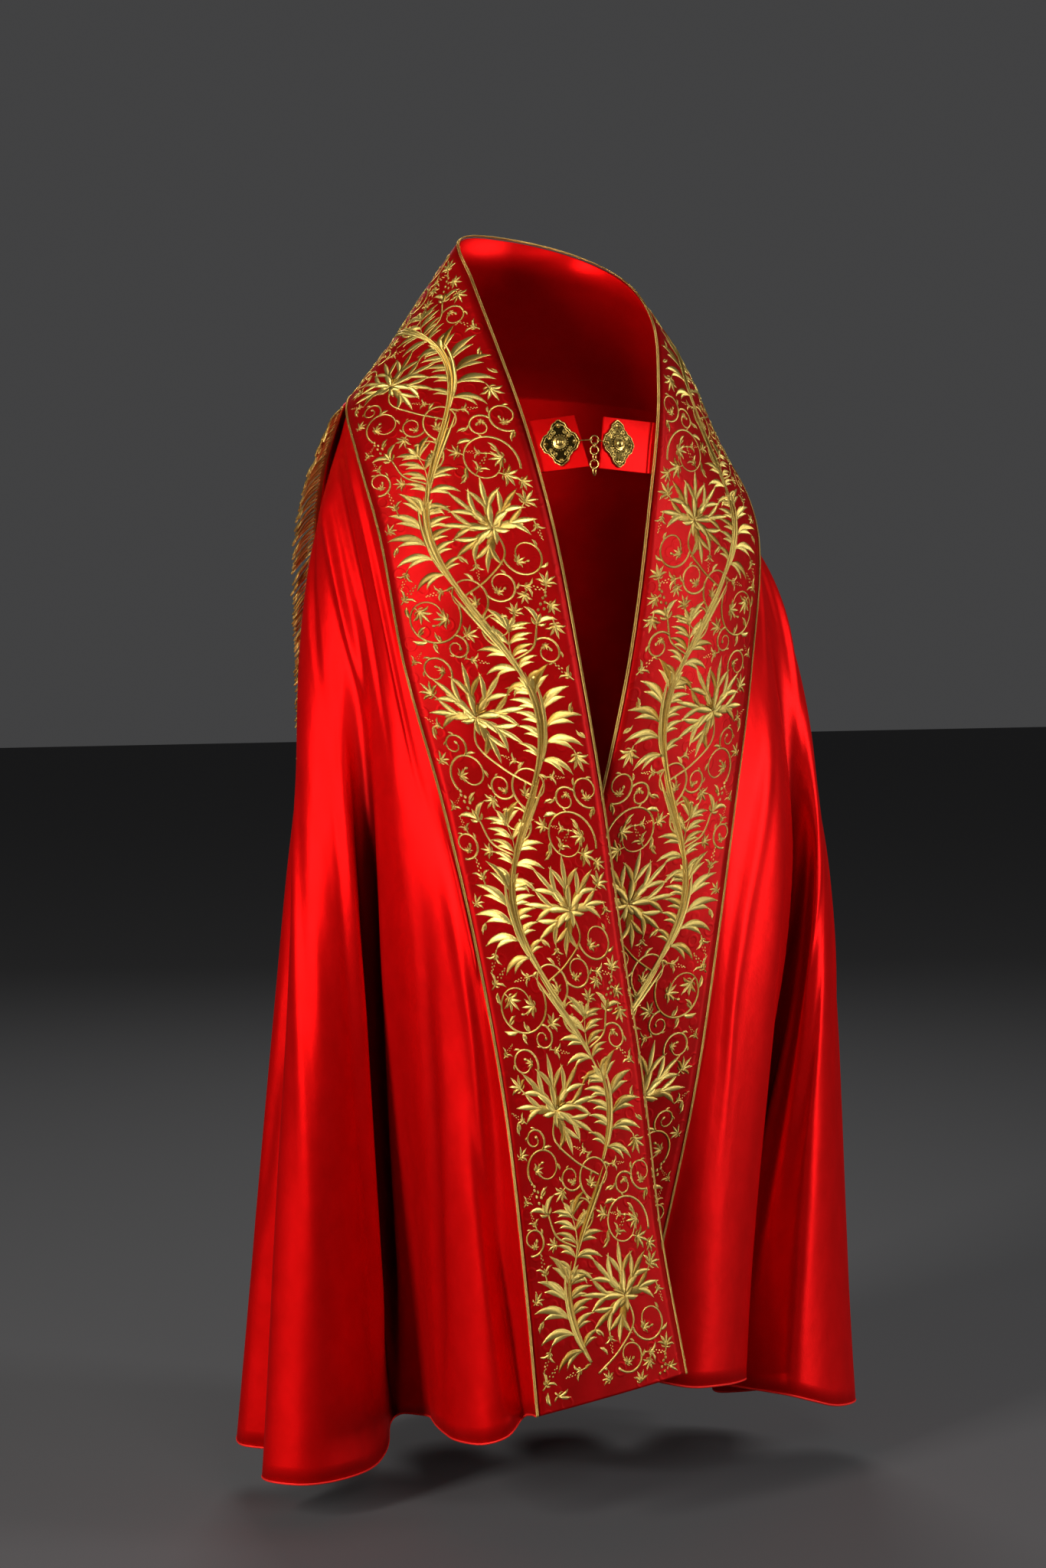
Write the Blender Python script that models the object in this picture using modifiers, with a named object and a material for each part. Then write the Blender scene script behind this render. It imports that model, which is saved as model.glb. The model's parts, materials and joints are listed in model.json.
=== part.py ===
"""A cope: a half-circle cloak of satin with a wide band down both fronts and round the neck, a shield-shaped
hood with a bullion fringe on the back, gold cord along the band, and a clasp of two plates, a hook and rings.

Frame: metres, +Z up, the front looks along -Y, and the wearer's right hand is at -X. The origin is where the
neck meets the shoulders. The cloth is described by its flat cut: s runs along the straight edge from the
middle of the back neck, positive to the wearer's right, t runs into the cloth, and (angle, radius) are the
same place seen from the back neck. The right front lies over the left one."""
import math

import bmesh
import bpy
import numpy as np
from mathutils import Matrix, Vector

CUT_RADIUS = 1.57
BAND_WIDTH = 0.22
SHOULDER_S = 0.27
MANTLE_WALL = 0.0022
BAND_WALL = 0.0013
HOOD_WALL = 0.0025
TAB_WALL = 0.003
BAND_MARGIN = 0.0035
GAP = 0.0006
CORD_RADIUS = 0.0018

ROWS = 15
COLUMNS = 84
BAND_STEPS = 3
ROW_GROWTH = 1.4
CHORD_REACH = 0.43
CALM_FROM = 0.44
CALM_TO = 0.95
CALM_ROUNDS = 6
CALM_SHARE = 0.8

SEAM_RADIUS = math.hypot(SHOULDER_S, BAND_WIDTH)
SHOULDER_RADIUS = 0.50
WAIST_RADIUS = 0.85
FOLD_START_RADIUS = 0.42
FOLD_GROWTH = 1.2
SEAM_BLEND = 0.10
HEM_WINDOW = math.radians(20)
HEM_SAMPLES = 21
# A column that starts nearer to the back neck than this is led down from the band's edge.
LED_RADIUS = 0.40

# Stations of the band from the right hem over the neck to the left hem. Bulge is how far its middle stands
# out, and STATION_STEP is how far to each side its direction is read.
STATION_STEP = 0.01
BAND_STATIONS = (
    # name, inner x, y, z, outer x, y, z, bulge
    ("right hem", 0.094, -0.226, -1.262, -0.122, -0.252, -1.285, 0.004),
    ("right shin", 0.063, -0.217, -1.088, -0.135, -0.240, -1.100, 0.006),
    ("right knee", 0.038, -0.216, -0.896, -0.152, -0.222, -0.905, 0.008),
    ("right thigh", 0.012, -0.212, -0.730, -0.174, -0.196, -0.735, 0.010),
    ("right hip", -0.012, -0.204, -0.545, -0.200, -0.148, -0.550, 0.012),
    ("right waist", -0.033, -0.189, -0.394, -0.225, -0.100, -0.400, 0.016),
    ("right chest", -0.059, -0.155, -0.204, -0.236, -0.042, -0.230, 0.018),
    ("right clasp", -0.075, -0.114, -0.091, -0.238, 0.022, -0.135, 0.018),
    ("right collar front", -0.083, -0.055, 0.000, -0.224, 0.092, -0.075, 0.018),
    ("right collar side", -0.088, 0.008, 0.085, -0.186, 0.148, -0.050, 0.016),
    ("right collar corner", -0.080, 0.066, 0.140, -0.120, 0.196, -0.035, 0.010),
    ("back neck", 0.008, 0.105, 0.150, 0.008, 0.218, -0.038, 0.006),
    ("left collar corner", 0.090, 0.080, 0.130, 0.124, 0.200, -0.043, 0.010),
    ("left collar side", 0.124, 0.022, 0.098, 0.208, 0.152, -0.055, 0.016),
    ("left collar front", 0.128, -0.050, 0.048, 0.246, 0.085, -0.075, 0.018),
    ("left clasp", 0.101, -0.129, -0.054, 0.262, 0.000, -0.125, 0.016),
    ("left chest", 0.069, -0.165, -0.212, 0.272, -0.075, -0.225, 0.014),
    ("left waist", 0.032, -0.186, -0.395, 0.238, -0.122, -0.400, 0.016),
    ("left hip", -0.003, -0.186, -0.546, 0.203, -0.150, -0.553, 0.012),
    ("left thigh", -0.050, -0.178, -0.730, 0.165, -0.172, -0.735, 0.008),
    ("left knee", -0.080, -0.170, -0.900, 0.134, -0.178, -0.905, 0.006),
    ("left shin", -0.120, -0.150, -1.095, 0.093, -0.170, -1.100, 0.004),
    ("left hem", -0.145, -0.125, -1.270, 0.058, -0.150, -1.278, 0.002),
)
BACK_NECK = 11

# Where the cloth passes the shoulders and the waist, outside the band: angle in the cut, then x, y, z.
SHOULDER_RING = (
    ("right side", 45, -0.276, 0.118, -0.230),
    ("right back", 65, -0.175, 0.205, -0.280),
    ("back", 90, 0.015, 0.232, -0.320),
    ("left back", 115, 0.200, 0.200, -0.285),
    ("left side", 133, 0.334, 0.100, -0.245),
    ("left front", 145, 0.341, 0.014, -0.230),
)
WAIST_RING = (
    ("right front", 28, -0.262, -0.088, -0.565),
    ("right side", 45, -0.308, 0.012, -0.580),
    ("right back", 64, -0.238, 0.155, -0.595),
    ("back", 90, 0.015, 0.262, -0.610),
    ("left back", 116, 0.290, 0.190, -0.600),
    ("left side", 136, 0.394, 0.036, -0.580),
    ("left front", 153, 0.343, -0.092, -0.565),
)

# The hem from the right band's outer edge round the back to the left band's: folds and the valleys between.
HEM = (
    # name, x, y, z
    ("beside the right band", -0.104, -0.170, -1.312),
    ("first fold, front", -0.138, -0.190, -1.330),
    ("first fold, crest", -0.172, -0.145, -1.337),
    ("first fold, wall", -0.168, -0.062, -1.340),
    ("first valley, wall", -0.142, 0.045, -1.355),
    ("first valley, floor", -0.156, 0.112, -1.372),
    ("second fold, wall", -0.188, 0.054, -1.395),
    ("second fold, front", -0.262, -0.024, -1.400),
    ("second fold, crest", -0.335, -0.036, -1.400),
    ("second fold, side", -0.374, 0.008, -1.400),
    ("second valley", -0.300, 0.092, -1.398),
    ("third fold, crest", -0.354, 0.158, -1.395),
    ("third fold, back", -0.318, 0.215, -1.390),
    ("third valley", -0.226, 0.170, -1.385),
    ("fourth fold, crest", -0.232, 0.272, -1.380),
    ("fourth fold, back", -0.165, 0.300, -1.378),
    ("fourth valley", -0.104, 0.196, -1.375),
    ("fifth fold, crest", -0.060, 0.300, -1.372),
    ("fifth fold, back", 0.012, 0.316, -1.370),
    ("fifth valley", 0.048, 0.206, -1.370),
    ("sixth fold, crest", 0.108, 0.308, -1.372),
    ("sixth fold, back", 0.184, 0.290, -1.375),
    ("sixth valley", 0.196, 0.178, -1.378),
    ("seventh fold, crest", 0.300, 0.238, -1.380),
    ("seventh fold, back", 0.372, 0.186, -1.382),
    ("seventh valley", 0.306, 0.090, -1.384),
    ("eighth fold, back", 0.432, 0.062, -1.386),
    ("eighth fold, crest", 0.460, -0.014, -1.384),
    ("eighth fold, front", 0.384, -0.092, -1.368),
    ("eighth fold, edge", 0.308, -0.110, -1.342),
    ("eighth fold, wall", 0.274, -0.036, -1.345),
    ("eighth valley", 0.247, 0.042, -1.352),
    ("ninth fold, wall", 0.222, -0.030, -1.335),
    ("ninth fold, edge", 0.242, -0.110, -1.312),
    ("ninth fold, crest", 0.186, -0.168, -1.300),
    ("ninth fold, front", 0.110, -0.188, -1.290),
)

# The hood's top edge lies along the band, its sides run down to a depth, and a rounded point closes it below.
HOOD_TOP_GAP = 0.006
HOOD_TOP_T = BAND_WIDTH + HOOD_TOP_GAP
HOOD_WIDTHS = (
    # depth below its top edge, half-width
    (0.000, 0.240),
    (0.140, 0.262),
    (0.320, 0.288),
    (0.500, 0.300),
)
HOOD_DEPTH = 0.700
HOOD_ROUNDNESS = 2.4
HOOD_ROWS = 13
HOOD_COLUMNS = 20
HOOD_STAND_OFF = 0.0028
HOOD_FOLD_REACH = 0.075

FRINGE_STRANDS = 96
FRINGE_STRIP = 0.010
FRINGE_WALL = 0.0024
FRINGE_GAP = 0.0009
STRAND_LENGTH = 0.048
STRAND_TIP = 0.35
# How a strand's fall is shared between away from the edge, away from the cloth, and down.
STRAND_FALL = (0.62, 0.34, 0.72)

# The clasp: two tabs from behind the fronts, a plate and a boss on each, and a hook, a ring and a tail.
FRONT_S = 0.216
TAB_TOP_Z = -0.094
TAB_BOTTOM_Z = -0.158
TAB_ROOT_T = 0.026
TAB_STAND_OFF = 0.0040
TAB_END = {"right": (-0.0154, -0.1555, -0.120), "left": (0.0080, -0.1630, -0.122)}
PLATE_PLACE = {"right": 0.57, "left": 0.69}
PLATE_HALF_WIDTH = 0.0245
PLATE_HALF_HEIGHT = 0.0300
PLATE_WALL = 0.0018
PLATE_SIDES = 48
LOBE_DEPTH = 0.12
SCALLOP_DEPTH = 0.02
BOSS_RADIUS = 0.0080
BOSS_HEIGHT = 0.0062
# The boss's outline from its top down, as shares of its radius and its height.
BOSS_PROFILE = (
    (0.00, 1.00),
    (0.30, 0.93),
    (0.48, 0.72),
    (0.55, 0.55),
    (0.85, 0.42),
    (1.00, 0.18),
    (1.00, 0.00),
    (0.00, 0.00),
)
WIRE_RADIUS = 0.0008
EYE_WIRE_RADIUS = 0.0006
CLASP_RING_CENTRE = (-0.0063, -0.1715, -0.1198)
CLASP_RING_RADIUS = 0.0052
TAIL_LINK_RADIUS = 0.0030
TAIL_RING_RADIUS = 0.0052
TAIL_RINGS = 4
RING_GAP = 0.0004
HOOK_ANGLE = 150
HOLD_STEP = 30
RING_SEGMENTS = 14
RING_SIDES = 5
SATIN = ((0.62, 0.004, 0.012), 0.38, 0.0)
BAND_SATIN = ((0.45, 0.002, 0.010), 0.40, 0.0)
GOLD_THREAD = ((0.72, 0.50, 0.19), 0.42, 0.7)
ANTIQUE_GOLD = ((0.60, 0.45, 0.17), 0.32, 1.0)


def spline(knots, values, at):
    """A smooth curve through values at their knots, read at the places asked for."""
    knots, values, at = np.asarray(knots, float), np.asarray(values, float), np.asarray(at, float)
    slopes = np.gradient(values, knots, axis=0)
    cell = np.clip(np.searchsorted(knots, at, side="right") - 1, 0, len(knots) - 2)
    span = (knots[cell + 1] - knots[cell])[..., None]
    f = np.clip((at - knots[cell])[..., None] / span, 0, 1)
    a, b = values[cell], values[cell + 1]
    return (
        (2 * f**3 - 3 * f**2 + 1) * a
        + (f**3 - 2 * f**2 + f) * span * slopes[cell]
        + (3 * f**2 - 2 * f**3) * b
        + (f**3 - f**2) * span * slopes[cell + 1]
    )


def ease(f):
    """A soft step from 0 to 1."""
    f = np.clip(f, 0, 1)
    return f * f * (3 - 2 * f)


def unit(vectors):
    return vectors / np.linalg.norm(vectors, axis=-1, keepdims=True)


def station_knots():
    """The place of each band station along the straight edge of the cut, from its inner edge's length."""
    inner = np.array([row[1:4] for row in BAND_STATIONS])
    steps = np.linalg.norm(np.diff(inner, axis=0), axis=1)
    length = np.concatenate([[0], np.cumsum(steps)])
    length -= length[BACK_NECK]
    end = math.sqrt(CUT_RADIUS**2 - BAND_WIDTH**2)
    return np.where(length < 0, length / -length[0], length / length[-1]) * end


STATION_KNOTS = station_knots()
STATION_VALUES = np.array([row[1:] for row in BAND_STATIONS])


def band_points(s, t):
    """Points of the band's own strip at s along the edge and t into the cloth."""
    s, t = np.broadcast_arrays(np.asarray(s, float), np.asarray(t, float))
    near = spline(STATION_KNOTS, STATION_VALUES, -s)
    ahead = spline(STATION_KNOTS, STATION_VALUES, np.minimum(-s + STATION_STEP, STATION_KNOTS[-1]))
    behind = spline(STATION_KNOTS, STATION_VALUES, np.maximum(-s - STATION_STEP, STATION_KNOTS[0]))
    inner, outer, bulge = near[..., :3], near[..., 3:6], near[..., 6:]
    along = ahead[..., :3] + ahead[..., 3:6] - behind[..., :3] - behind[..., 3:6]
    outward = unit(np.cross(along, outer - inner))
    f = (t / BAND_WIDTH)[..., None]
    return inner + (outer - inner) * f + outward * bulge * 4 * f * (1 - f)


def seam_angle(radius):
    """The angle in the cut at which a ring of this radius meets the band's outer edge."""
    return np.arcsin(BAND_WIDTH / radius)


def seam_points(radius, side):
    """The band's outer edge at this radius, on the right (side 1) or the left (side -1)."""
    return band_points(side * np.sqrt(np.maximum(radius**2 - BAND_WIDTH**2, 0)), BAND_WIDTH)


def ring_points(table, radius, angle):
    """A smooth ring from seam to seam through the table's rows."""
    first = float(seam_angle(radius))
    knots = np.concatenate([[first], [math.radians(row[1]) for row in table], [math.pi - first]])
    rows = [seam_points(radius, 1)] + [row[2:] for row in table] + [seam_points(radius, -1)]
    return spline(knots, np.array(rows, float), np.clip(angle, first, math.pi - first))


def hem_curve():
    """Knots in angle and the points of the hem, seam to seam, spaced as their lengths are."""
    rows = [seam_points(CUT_RADIUS, 1)] + [row[1:] for row in HEM] + [seam_points(CUT_RADIUS, -1)]
    points = np.array(rows, float)
    lengths = np.concatenate([[0], np.cumsum(np.linalg.norm(np.diff(points, axis=0), axis=1))])
    first = float(seam_angle(CUT_RADIUS))
    return first + lengths / lengths[-1] * (math.pi - 2 * first), points


HEM_KNOTS, HEM_POINTS = hem_curve()


def hem_points(angle):
    return spline(HEM_KNOTS, HEM_POINTS, np.clip(angle, HEM_KNOTS[0], HEM_KNOTS[-1]))


def calm_hem_points(angle):
    """The hem with its folds averaged away."""
    reach = np.minimum(HEM_WINDOW, np.minimum(angle - HEM_KNOTS[0], HEM_KNOTS[-1] - angle))
    shifts = np.linspace(-1, 1, HEM_SAMPLES)
    weights = 1 + np.cos(np.pi * shifts)
    total = sum(w * hem_points(angle + np.maximum(reach, 0) * shift) for w, shift in zip(weights, shifts))
    return total / weights.sum()


def fold_amount(radius):
    return np.clip((radius - FOLD_START_RADIUS) / (CUT_RADIUS - FOLD_START_RADIUS), 0, 1) ** FOLD_GROWTH


def loose_points(angle, radius, folds=1.0):
    """The cloth outside the band before it is drawn to the band's edge."""
    angle, radius = np.broadcast_arrays(np.asarray(angle, float), np.asarray(radius, float))
    flat_angle, flat_radius = angle.ravel(), radius.ravel()
    shoulder = ring_points(SHOULDER_RING, SHOULDER_RADIUS, flat_angle)
    waist = ring_points(WAIST_RING, WAIST_RADIUS, flat_angle)
    calm = calm_hem_points(flat_angle)
    start = BAND_WIDTH / np.sin(flat_angle)
    top = band_points(np.clip(BAND_WIDTH / np.tan(flat_angle), -SHOULDER_S, SHOULDER_S), BAND_WIDTH)
    out = np.empty((len(flat_angle), 3))
    for i, at in enumerate(flat_radius):
        knots, rows = [SHOULDER_RADIUS, WAIST_RADIUS, CUT_RADIUS], [shoulder[i], waist[i], calm[i]]
        if start[i] < LED_RADIUS:
            knots, rows = [start[i]] + knots, [top[i]] + rows
        out[i] = spline(knots, rows, np.array([at]))[0]
    out += (hem_points(flat_angle) - calm) * (folds * fold_amount(flat_radius))[:, None]
    return out.reshape(angle.shape + (3,))


def mantle_points(angle, radius, folds=1.0):
    """Points of the mantle outside the band, which meet the band's outer edge on both sides."""
    angle, radius = np.broadcast_arrays(np.asarray(angle, float), np.asarray(radius, float))
    points = loose_points(angle, radius, folds)
    first = seam_angle(np.maximum(radius, BAND_WIDTH + 1e-9))
    for side in (1, -1):
        edge = first if side == 1 else math.pi - first
        miss = seam_points(radius, side) - loose_points(edge, radius, folds)
        near = 1 - ease((angle - edge) * side * radius / SEAM_BLEND)
        shown = np.where(radius > SEAM_RADIUS - GAP, near, 0)
        points = points + miss * shown[..., None]
    return points


def mantle_grid():
    """The mantle outside the band: rows from the band down, columns from the right seam to the left one."""
    last = math.sqrt(CUT_RADIUS**2 - BAND_WIDTH**2)
    ends = SHOULDER_S + (last - SHOULDER_S) * np.linspace(0, 1, ROWS + 1) ** ROW_GROWTH
    rows = []
    for k, s in enumerate(ends):
        radius = math.hypot(s, BAND_WIDTH)
        first = float(seam_angle(radius))
        angle = np.linspace(first, math.pi - first, COLUMNS + 1)
        chord = max(0.0, 1 - (s - SHOULDER_S) / CHORD_REACH) ** 2
        at = chord * BAND_WIDTH / np.sin(angle) + (1 - chord) * radius
        if k == 0:
            rows.append(band_points(BAND_WIDTH / np.tan(angle), BAND_WIDTH))
        else:
            row = mantle_points(angle, at)
            row[0], row[-1] = seam_points(radius, 1), seam_points(radius, -1)
            rows.append(row)
    grid = np.array(rows)
    share = CALM_SHARE * (1 - ease((ends[1:-1] - CALM_FROM) / (CALM_TO - CALM_FROM)))[:, None, None]
    for _ in range(CALM_ROUNDS):
        middle = (grid[:-2, 1:-1] + grid[2:, 1:-1] + grid[1:-1, :-2] + grid[1:-1, 2:]) / 4
        grid[1:-1, 1:-1] += (middle - grid[1:-1, 1:-1]) * share
    return grid, ends


def band_stations(ends):
    """The s of each station of the band's grid, which are the mantle's own rows and columns."""
    first = float(seam_angle(math.hypot(ends[0], BAND_WIDTH)))
    neck = BAND_WIDTH / np.tan(np.linspace(first, math.pi - first, COLUMNS + 1))
    return np.concatenate([ends[:0:-1], neck, -ends[1:]])


def band_grid(ends):
    stations = band_stations(ends)
    t = np.linspace(0, BAND_WIDTH, BAND_STEPS + 1)
    return band_points(stations[:, None], t[None, :])


def grid_normals(grid):
    """Outward normals of a grid whose first index runs to the wearer's left and second into the cloth."""
    along = np.gradient(grid, axis=0)
    across = np.gradient(grid, axis=1)
    return unit(np.cross(along, across))


def grid_faces(count_a, count_b, start=0):
    """Triangles of a grid, facing out when the first index runs left and the second into the cloth."""
    faces = []
    for a in range(count_a - 1):
        for b in range(count_b - 1):
            here = start + a * count_b + b
            beside, far = here + count_b, here + count_b + 1
            faces.append((here, beside, far))
            faces.append((here, far, here + 1))
    return faces


def material(name, look):
    """A plain Principled material from a colour, a roughness and a metallic value."""
    made = bpy.data.materials.get(name) or bpy.data.materials.new(name)
    made.use_nodes = True
    shader = made.node_tree.nodes["Principled BSDF"]
    shader.inputs["Base Color"].default_value = (*look[0], 1)
    shader.inputs["Roughness"].default_value = look[1]
    shader.inputs["Metallic"].default_value = look[2]
    return made


def place(obj, look_name, look):
    obj.data.materials.append(material(look_name, look))
    collection = bpy.data.collections.get("cope") or bpy.data.collections.new("cope")
    if collection.name not in bpy.context.scene.collection.children:
        bpy.context.scene.collection.children.link(collection)
    for other in obj.users_collection:
        other.objects.unlink(obj)
    collection.objects.link(obj)
    return obj


def cloth_object(name, points, faces, wall, offset, look_name, look):
    """An open surface with a wall, offset -1 inwards or 1 outwards."""
    mesh = bpy.data.meshes.new(name)
    shell = bmesh.new()
    corners = [shell.verts.new(p) for p in points]
    for face in faces:
        shell.faces.new([corners[i] for i in face])
    bmesh.ops.remove_doubles(shell, verts=shell.verts, dist=1e-6)
    shell.to_mesh(mesh)
    shell.free()
    obj = bpy.data.objects.new(name, mesh)
    bpy.context.scene.collection.objects.link(obj)
    thick = obj.modifiers.new("wall", "SOLIDIFY")
    thick.thickness = wall
    thick.offset = offset
    thick.use_even_offset = False
    mesh.shade_smooth()
    return place(obj, look_name, look)


def make_mantle(grid, band):
    columns_first = np.swapaxes(grid, 0, 1)
    points = np.concatenate([band.reshape(-1, 3), columns_first.reshape(-1, 3)])
    faces = grid_faces(len(band), BAND_STEPS + 1)
    faces += grid_faces(COLUMNS + 1, ROWS + 1, len(band) * (BAND_STEPS + 1))
    return cloth_object("mantle", points, faces, MANTLE_WALL, -1, "satin", SATIN)


def make_band(name, band, first, last):
    """A stretch of the embroidered band, made from the mantle's points moved out."""
    raised = band + grid_normals(band) * GAP * np.array([2] + [1] * (BAND_STEPS - 1) + [2])[:, None]
    raised[:, 0] += (raised[:, 1] - raised[:, 0]) * BAND_MARGIN * BAND_STEPS / BAND_WIDTH
    raised[:, -1] += (raised[:, -2] - raised[:, -1]) * BAND_MARGIN * BAND_STEPS / BAND_WIDTH
    part = raised[first:last]
    faces = grid_faces(len(part), BAND_STEPS + 1)
    return cloth_object(name, part.reshape(-1, 3), faces, BAND_WALL, 1, "band_satin", BAND_SATIN)


def hood_grid():
    """The hood on the calm form of the back: columns from right to left, rows from its top edge down."""
    across = np.linspace(-1, 1, HOOD_COLUMNS + 1)[:, None]
    sides = np.array(HOOD_WIDTHS)
    reach = HOOD_DEPTH - (HOOD_DEPTH - sides[-1, 0]) * np.abs(across) ** HOOD_ROUNDNESS
    depth = reach * np.linspace(0, 1, HOOD_ROWS + 1)
    s, t = -across * spline(sides[:, 0], sides[:, 1:], depth)[..., 0], HOOD_TOP_T + depth
    radius = np.hypot(s, t)
    grid = mantle_points(np.arctan2(t, s), radius, 0.0)
    stand_off = HOOD_STAND_OFF + HOOD_FOLD_REACH * fold_amount(radius)
    return grid + grid_normals(grid) * stand_off[..., None]


def hood_edge(grid):
    """The hood's free edge from its top right corner round to its top left one, and the ways out."""
    line = np.concatenate([grid[0], grid[1:-1, -1], grid[-1, ::-1]])
    corners = grid[1:2, -2], grid[-2:-1, -2]
    inside = np.concatenate([grid[1, :-1], corners[0], grid[1:-1, -2], corners[1], grid[-2, -2::-1]])
    normals = grid_normals(grid)
    faces_out = np.concatenate([normals[0], normals[1:-1, -1], normals[-1, ::-1]])
    along = unit(np.gradient(line, axis=0))
    out = line - inside
    out = unit(out - along * (out * along).sum(axis=1, keepdims=True))
    return line, out, faces_out


def evenly(line, count, *others):
    """A line and what goes with it, read again at equal lengths."""
    length = np.concatenate([[0], np.cumsum(np.linalg.norm(np.diff(line, axis=0), axis=1))])
    at = np.linspace(0, length[-1], count)
    read = [[np.interp(at, length, values[:, i]) for i in range(3)] for values in (line, *others)]
    return [np.stack(columns, axis=1) for columns in read]


def make_fringe(grid):
    """A narrow strip along the hood's edge, with tapered strands that hang from it, roots fused."""
    line, out, normal = hood_edge(grid)
    for _ in range(3):
        out[1:-1] = unit(out[:-2] + out[1:-1] + out[2:])
    line, out, normal = evenly(line, 2 * FRINGE_STRANDS + 2, out, normal)
    out, normal = unit(out), unit(normal)
    root = line + out * FRINGE_GAP
    sections = np.stack(
        [
            root,
            root + normal * FRINGE_WALL,
            root + out * FRINGE_STRIP + normal * FRINGE_WALL,
            root + out * FRINGE_STRIP,
        ],
        axis=1,
    )
    strip = bmesh.new()
    rings = [[strip.verts.new(p) for p in section] for section in sections]
    outer = []
    for before, after in zip(rings, rings[1:]):
        for i in range(4):
            j = (i + 1) % 4
            face = strip.faces.new((before[i], after[i], after[j], before[j]))
            if i == 2:
                outer.append(face)
    strip.faces.new(rings[0])
    strip.faces.new(rings[-1][::-1])
    roots = outer[::2]
    away, off, down = STRAND_FALL
    pulls = [Vector(o * away + n * off) - Vector((0, 0, down)) for o, n in zip(out[::2], normal[::2])]
    for face, pull in zip(roots, pulls):
        tip = bmesh.ops.extrude_discrete_faces(strip, faces=[face])["faces"][0]
        middle = tip.calc_center_median() + pull.normalized() * STRAND_LENGTH
        centre = tip.calc_center_median()
        for corner in tip.verts:
            corner.co = middle + (corner.co - centre) * STRAND_TIP
    bmesh.ops.recalc_face_normals(strip, faces=strip.faces)
    mesh = bpy.data.meshes.new("hood_fringe")
    strip.to_mesh(mesh)
    strip.free()
    obj = bpy.data.objects.new("hood_fringe", mesh)
    bpy.context.scene.collection.objects.link(obj)
    return place(obj, "gold_thread", GOLD_THREAD)


def wire(name, route, radius, look_name, look, resolution=1):
    """A round wire or cord along a route of points."""
    curve = bpy.data.curves.new(name, "CURVE")
    curve.dimensions = "3D"
    curve.bevel_depth = radius
    curve.bevel_resolution = resolution
    curve.use_fill_caps = True
    line = curve.splines.new("POLY")
    line.points.add(len(route) - 1)
    for point, co in zip(line.points, route):
        point.co = (*co, 1)
    obj = bpy.data.objects.new(name, curve)
    bpy.context.scene.collection.objects.link(obj)
    return place(obj, look_name, look)


def cord_stations(count):
    """Which of the band's stations the cords use: all on the fronts and every other one round the neck."""
    neck_from, neck_to = ROWS, ROWS + COLUMNS
    return [i for i in range(count) if i <= neck_from or i >= neck_to or (i - neck_from) % 2 == 0]


def make_cords(band, grid):
    """A gold cord beside the band's inner edge, and one on the mantle along its outer edge."""
    used = cord_stations(len(band))
    normals = grid_normals(band)
    reach = CORD_RADIUS + GAP
    inner_out = unit(band[:, 0] - band[:, 1])
    inner = band[:, 0] + inner_out * reach
    wire("cord_inner", inner[used], CORD_RADIUS, "gold_thread", GOLD_THREAD)
    outside = np.concatenate([grid[:0:-1, 1], grid[1], grid[1:, -2]])
    beyond = unit(np.cross(unit(np.gradient(band[:, -1], axis=0)), outside - band[:, -1]))
    lift = unit(normals[:, -1] + beyond)
    outer = band[:, -1] + lift * (CORD_RADIUS + 3 * GAP)
    wire("cord_outer", outer[used], CORD_RADIUS, "gold_thread", GOLD_THREAD)


def on_band(band, stations, s, t):
    """A point of the band's faceted grid and its outward normal, at s and t."""
    i = int(np.clip(np.searchsorted(-stations, -s) - 1, 0, len(stations) - 2))
    f = (stations[i] - s) / (stations[i] - stations[i + 1])
    inner = band[i, 0] * (1 - f) + band[i + 1, 0] * f
    next_in = band[i, 1] * (1 - f) + band[i + 1, 1] * f
    normal = unit(np.cross(band[i + 1, 0] - band[i, 0], next_in - inner))
    return inner + (next_in - inner) * (t * BAND_STEPS / BAND_WIDTH), normal


def edge_s(band, stations, z, side):
    """Where the front edge passes a height, on the right (1) or the left (-1)."""
    front = [i for i in range(len(stations)) if side * stations[i] > FRONT_S]
    return float(np.interp(z, *zip(*sorted((band[i, 0, 2], stations[i]) for i in front))))


def tab_plane(band, stations, side_name):
    """The corners of a tab's front: hidden root, edge and free end, top and bottom, and its axes."""
    side = 1 if side_name == "right" else -1
    edges, roots = [], []
    for z in (TAB_TOP_Z, TAB_BOTTOM_Z):
        s = edge_s(band, stations, z, side)
        for corners, t in ((edges, 0), (roots, TAB_ROOT_T)):
            point, normal = on_band(band, stations, s, t)
            corners.append(Vector(point - normal * TAB_STAND_OFF))
    height = (edges[0] - edges[1]) / 2
    end = Vector(TAB_END[side_name])
    ends = [end + height, end - height]
    return roots, edges, ends


def make_tab(band, stations, side_name):
    roots, edges, ends = tab_plane(band, stations, side_name)
    columns = [roots, edges] + [[edges[i].lerp(ends[i], f) for i in (0, 1)] for f in (0.5, 1.0)]
    points, faces = [], []
    for top, bottom in columns:
        points += [top, top.lerp(bottom, 0.5), bottom]
    for c in range(len(columns) - 1):
        for r in range(2):
            a, b = 3 * c + r, 3 * (c + 1) + r
            quad = (a, a + 1, b + 1, b) if side_name == "right" else (a, b, b + 1, a + 1)
            faces.append(quad)
    cloth_object("clasp_tab_" + side_name, points, faces, TAB_WALL, -1, "satin", SATIN)
    middle = edges[0].lerp(edges[1], 0.5)
    across = (ends[0] + ends[1]) / 2 - middle
    centre = middle + across * PLATE_PLACE[side_name]
    u = across.normalized() * (1 if side_name == "right" else -1)
    v = edges[0] - edges[1]
    v = (v - u * v.dot(u)).normalized()
    out = u.cross(v)
    turn = Matrix((u, v, out)).transposed().to_4x4()
    return Matrix.Translation(centre) @ turn


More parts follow.
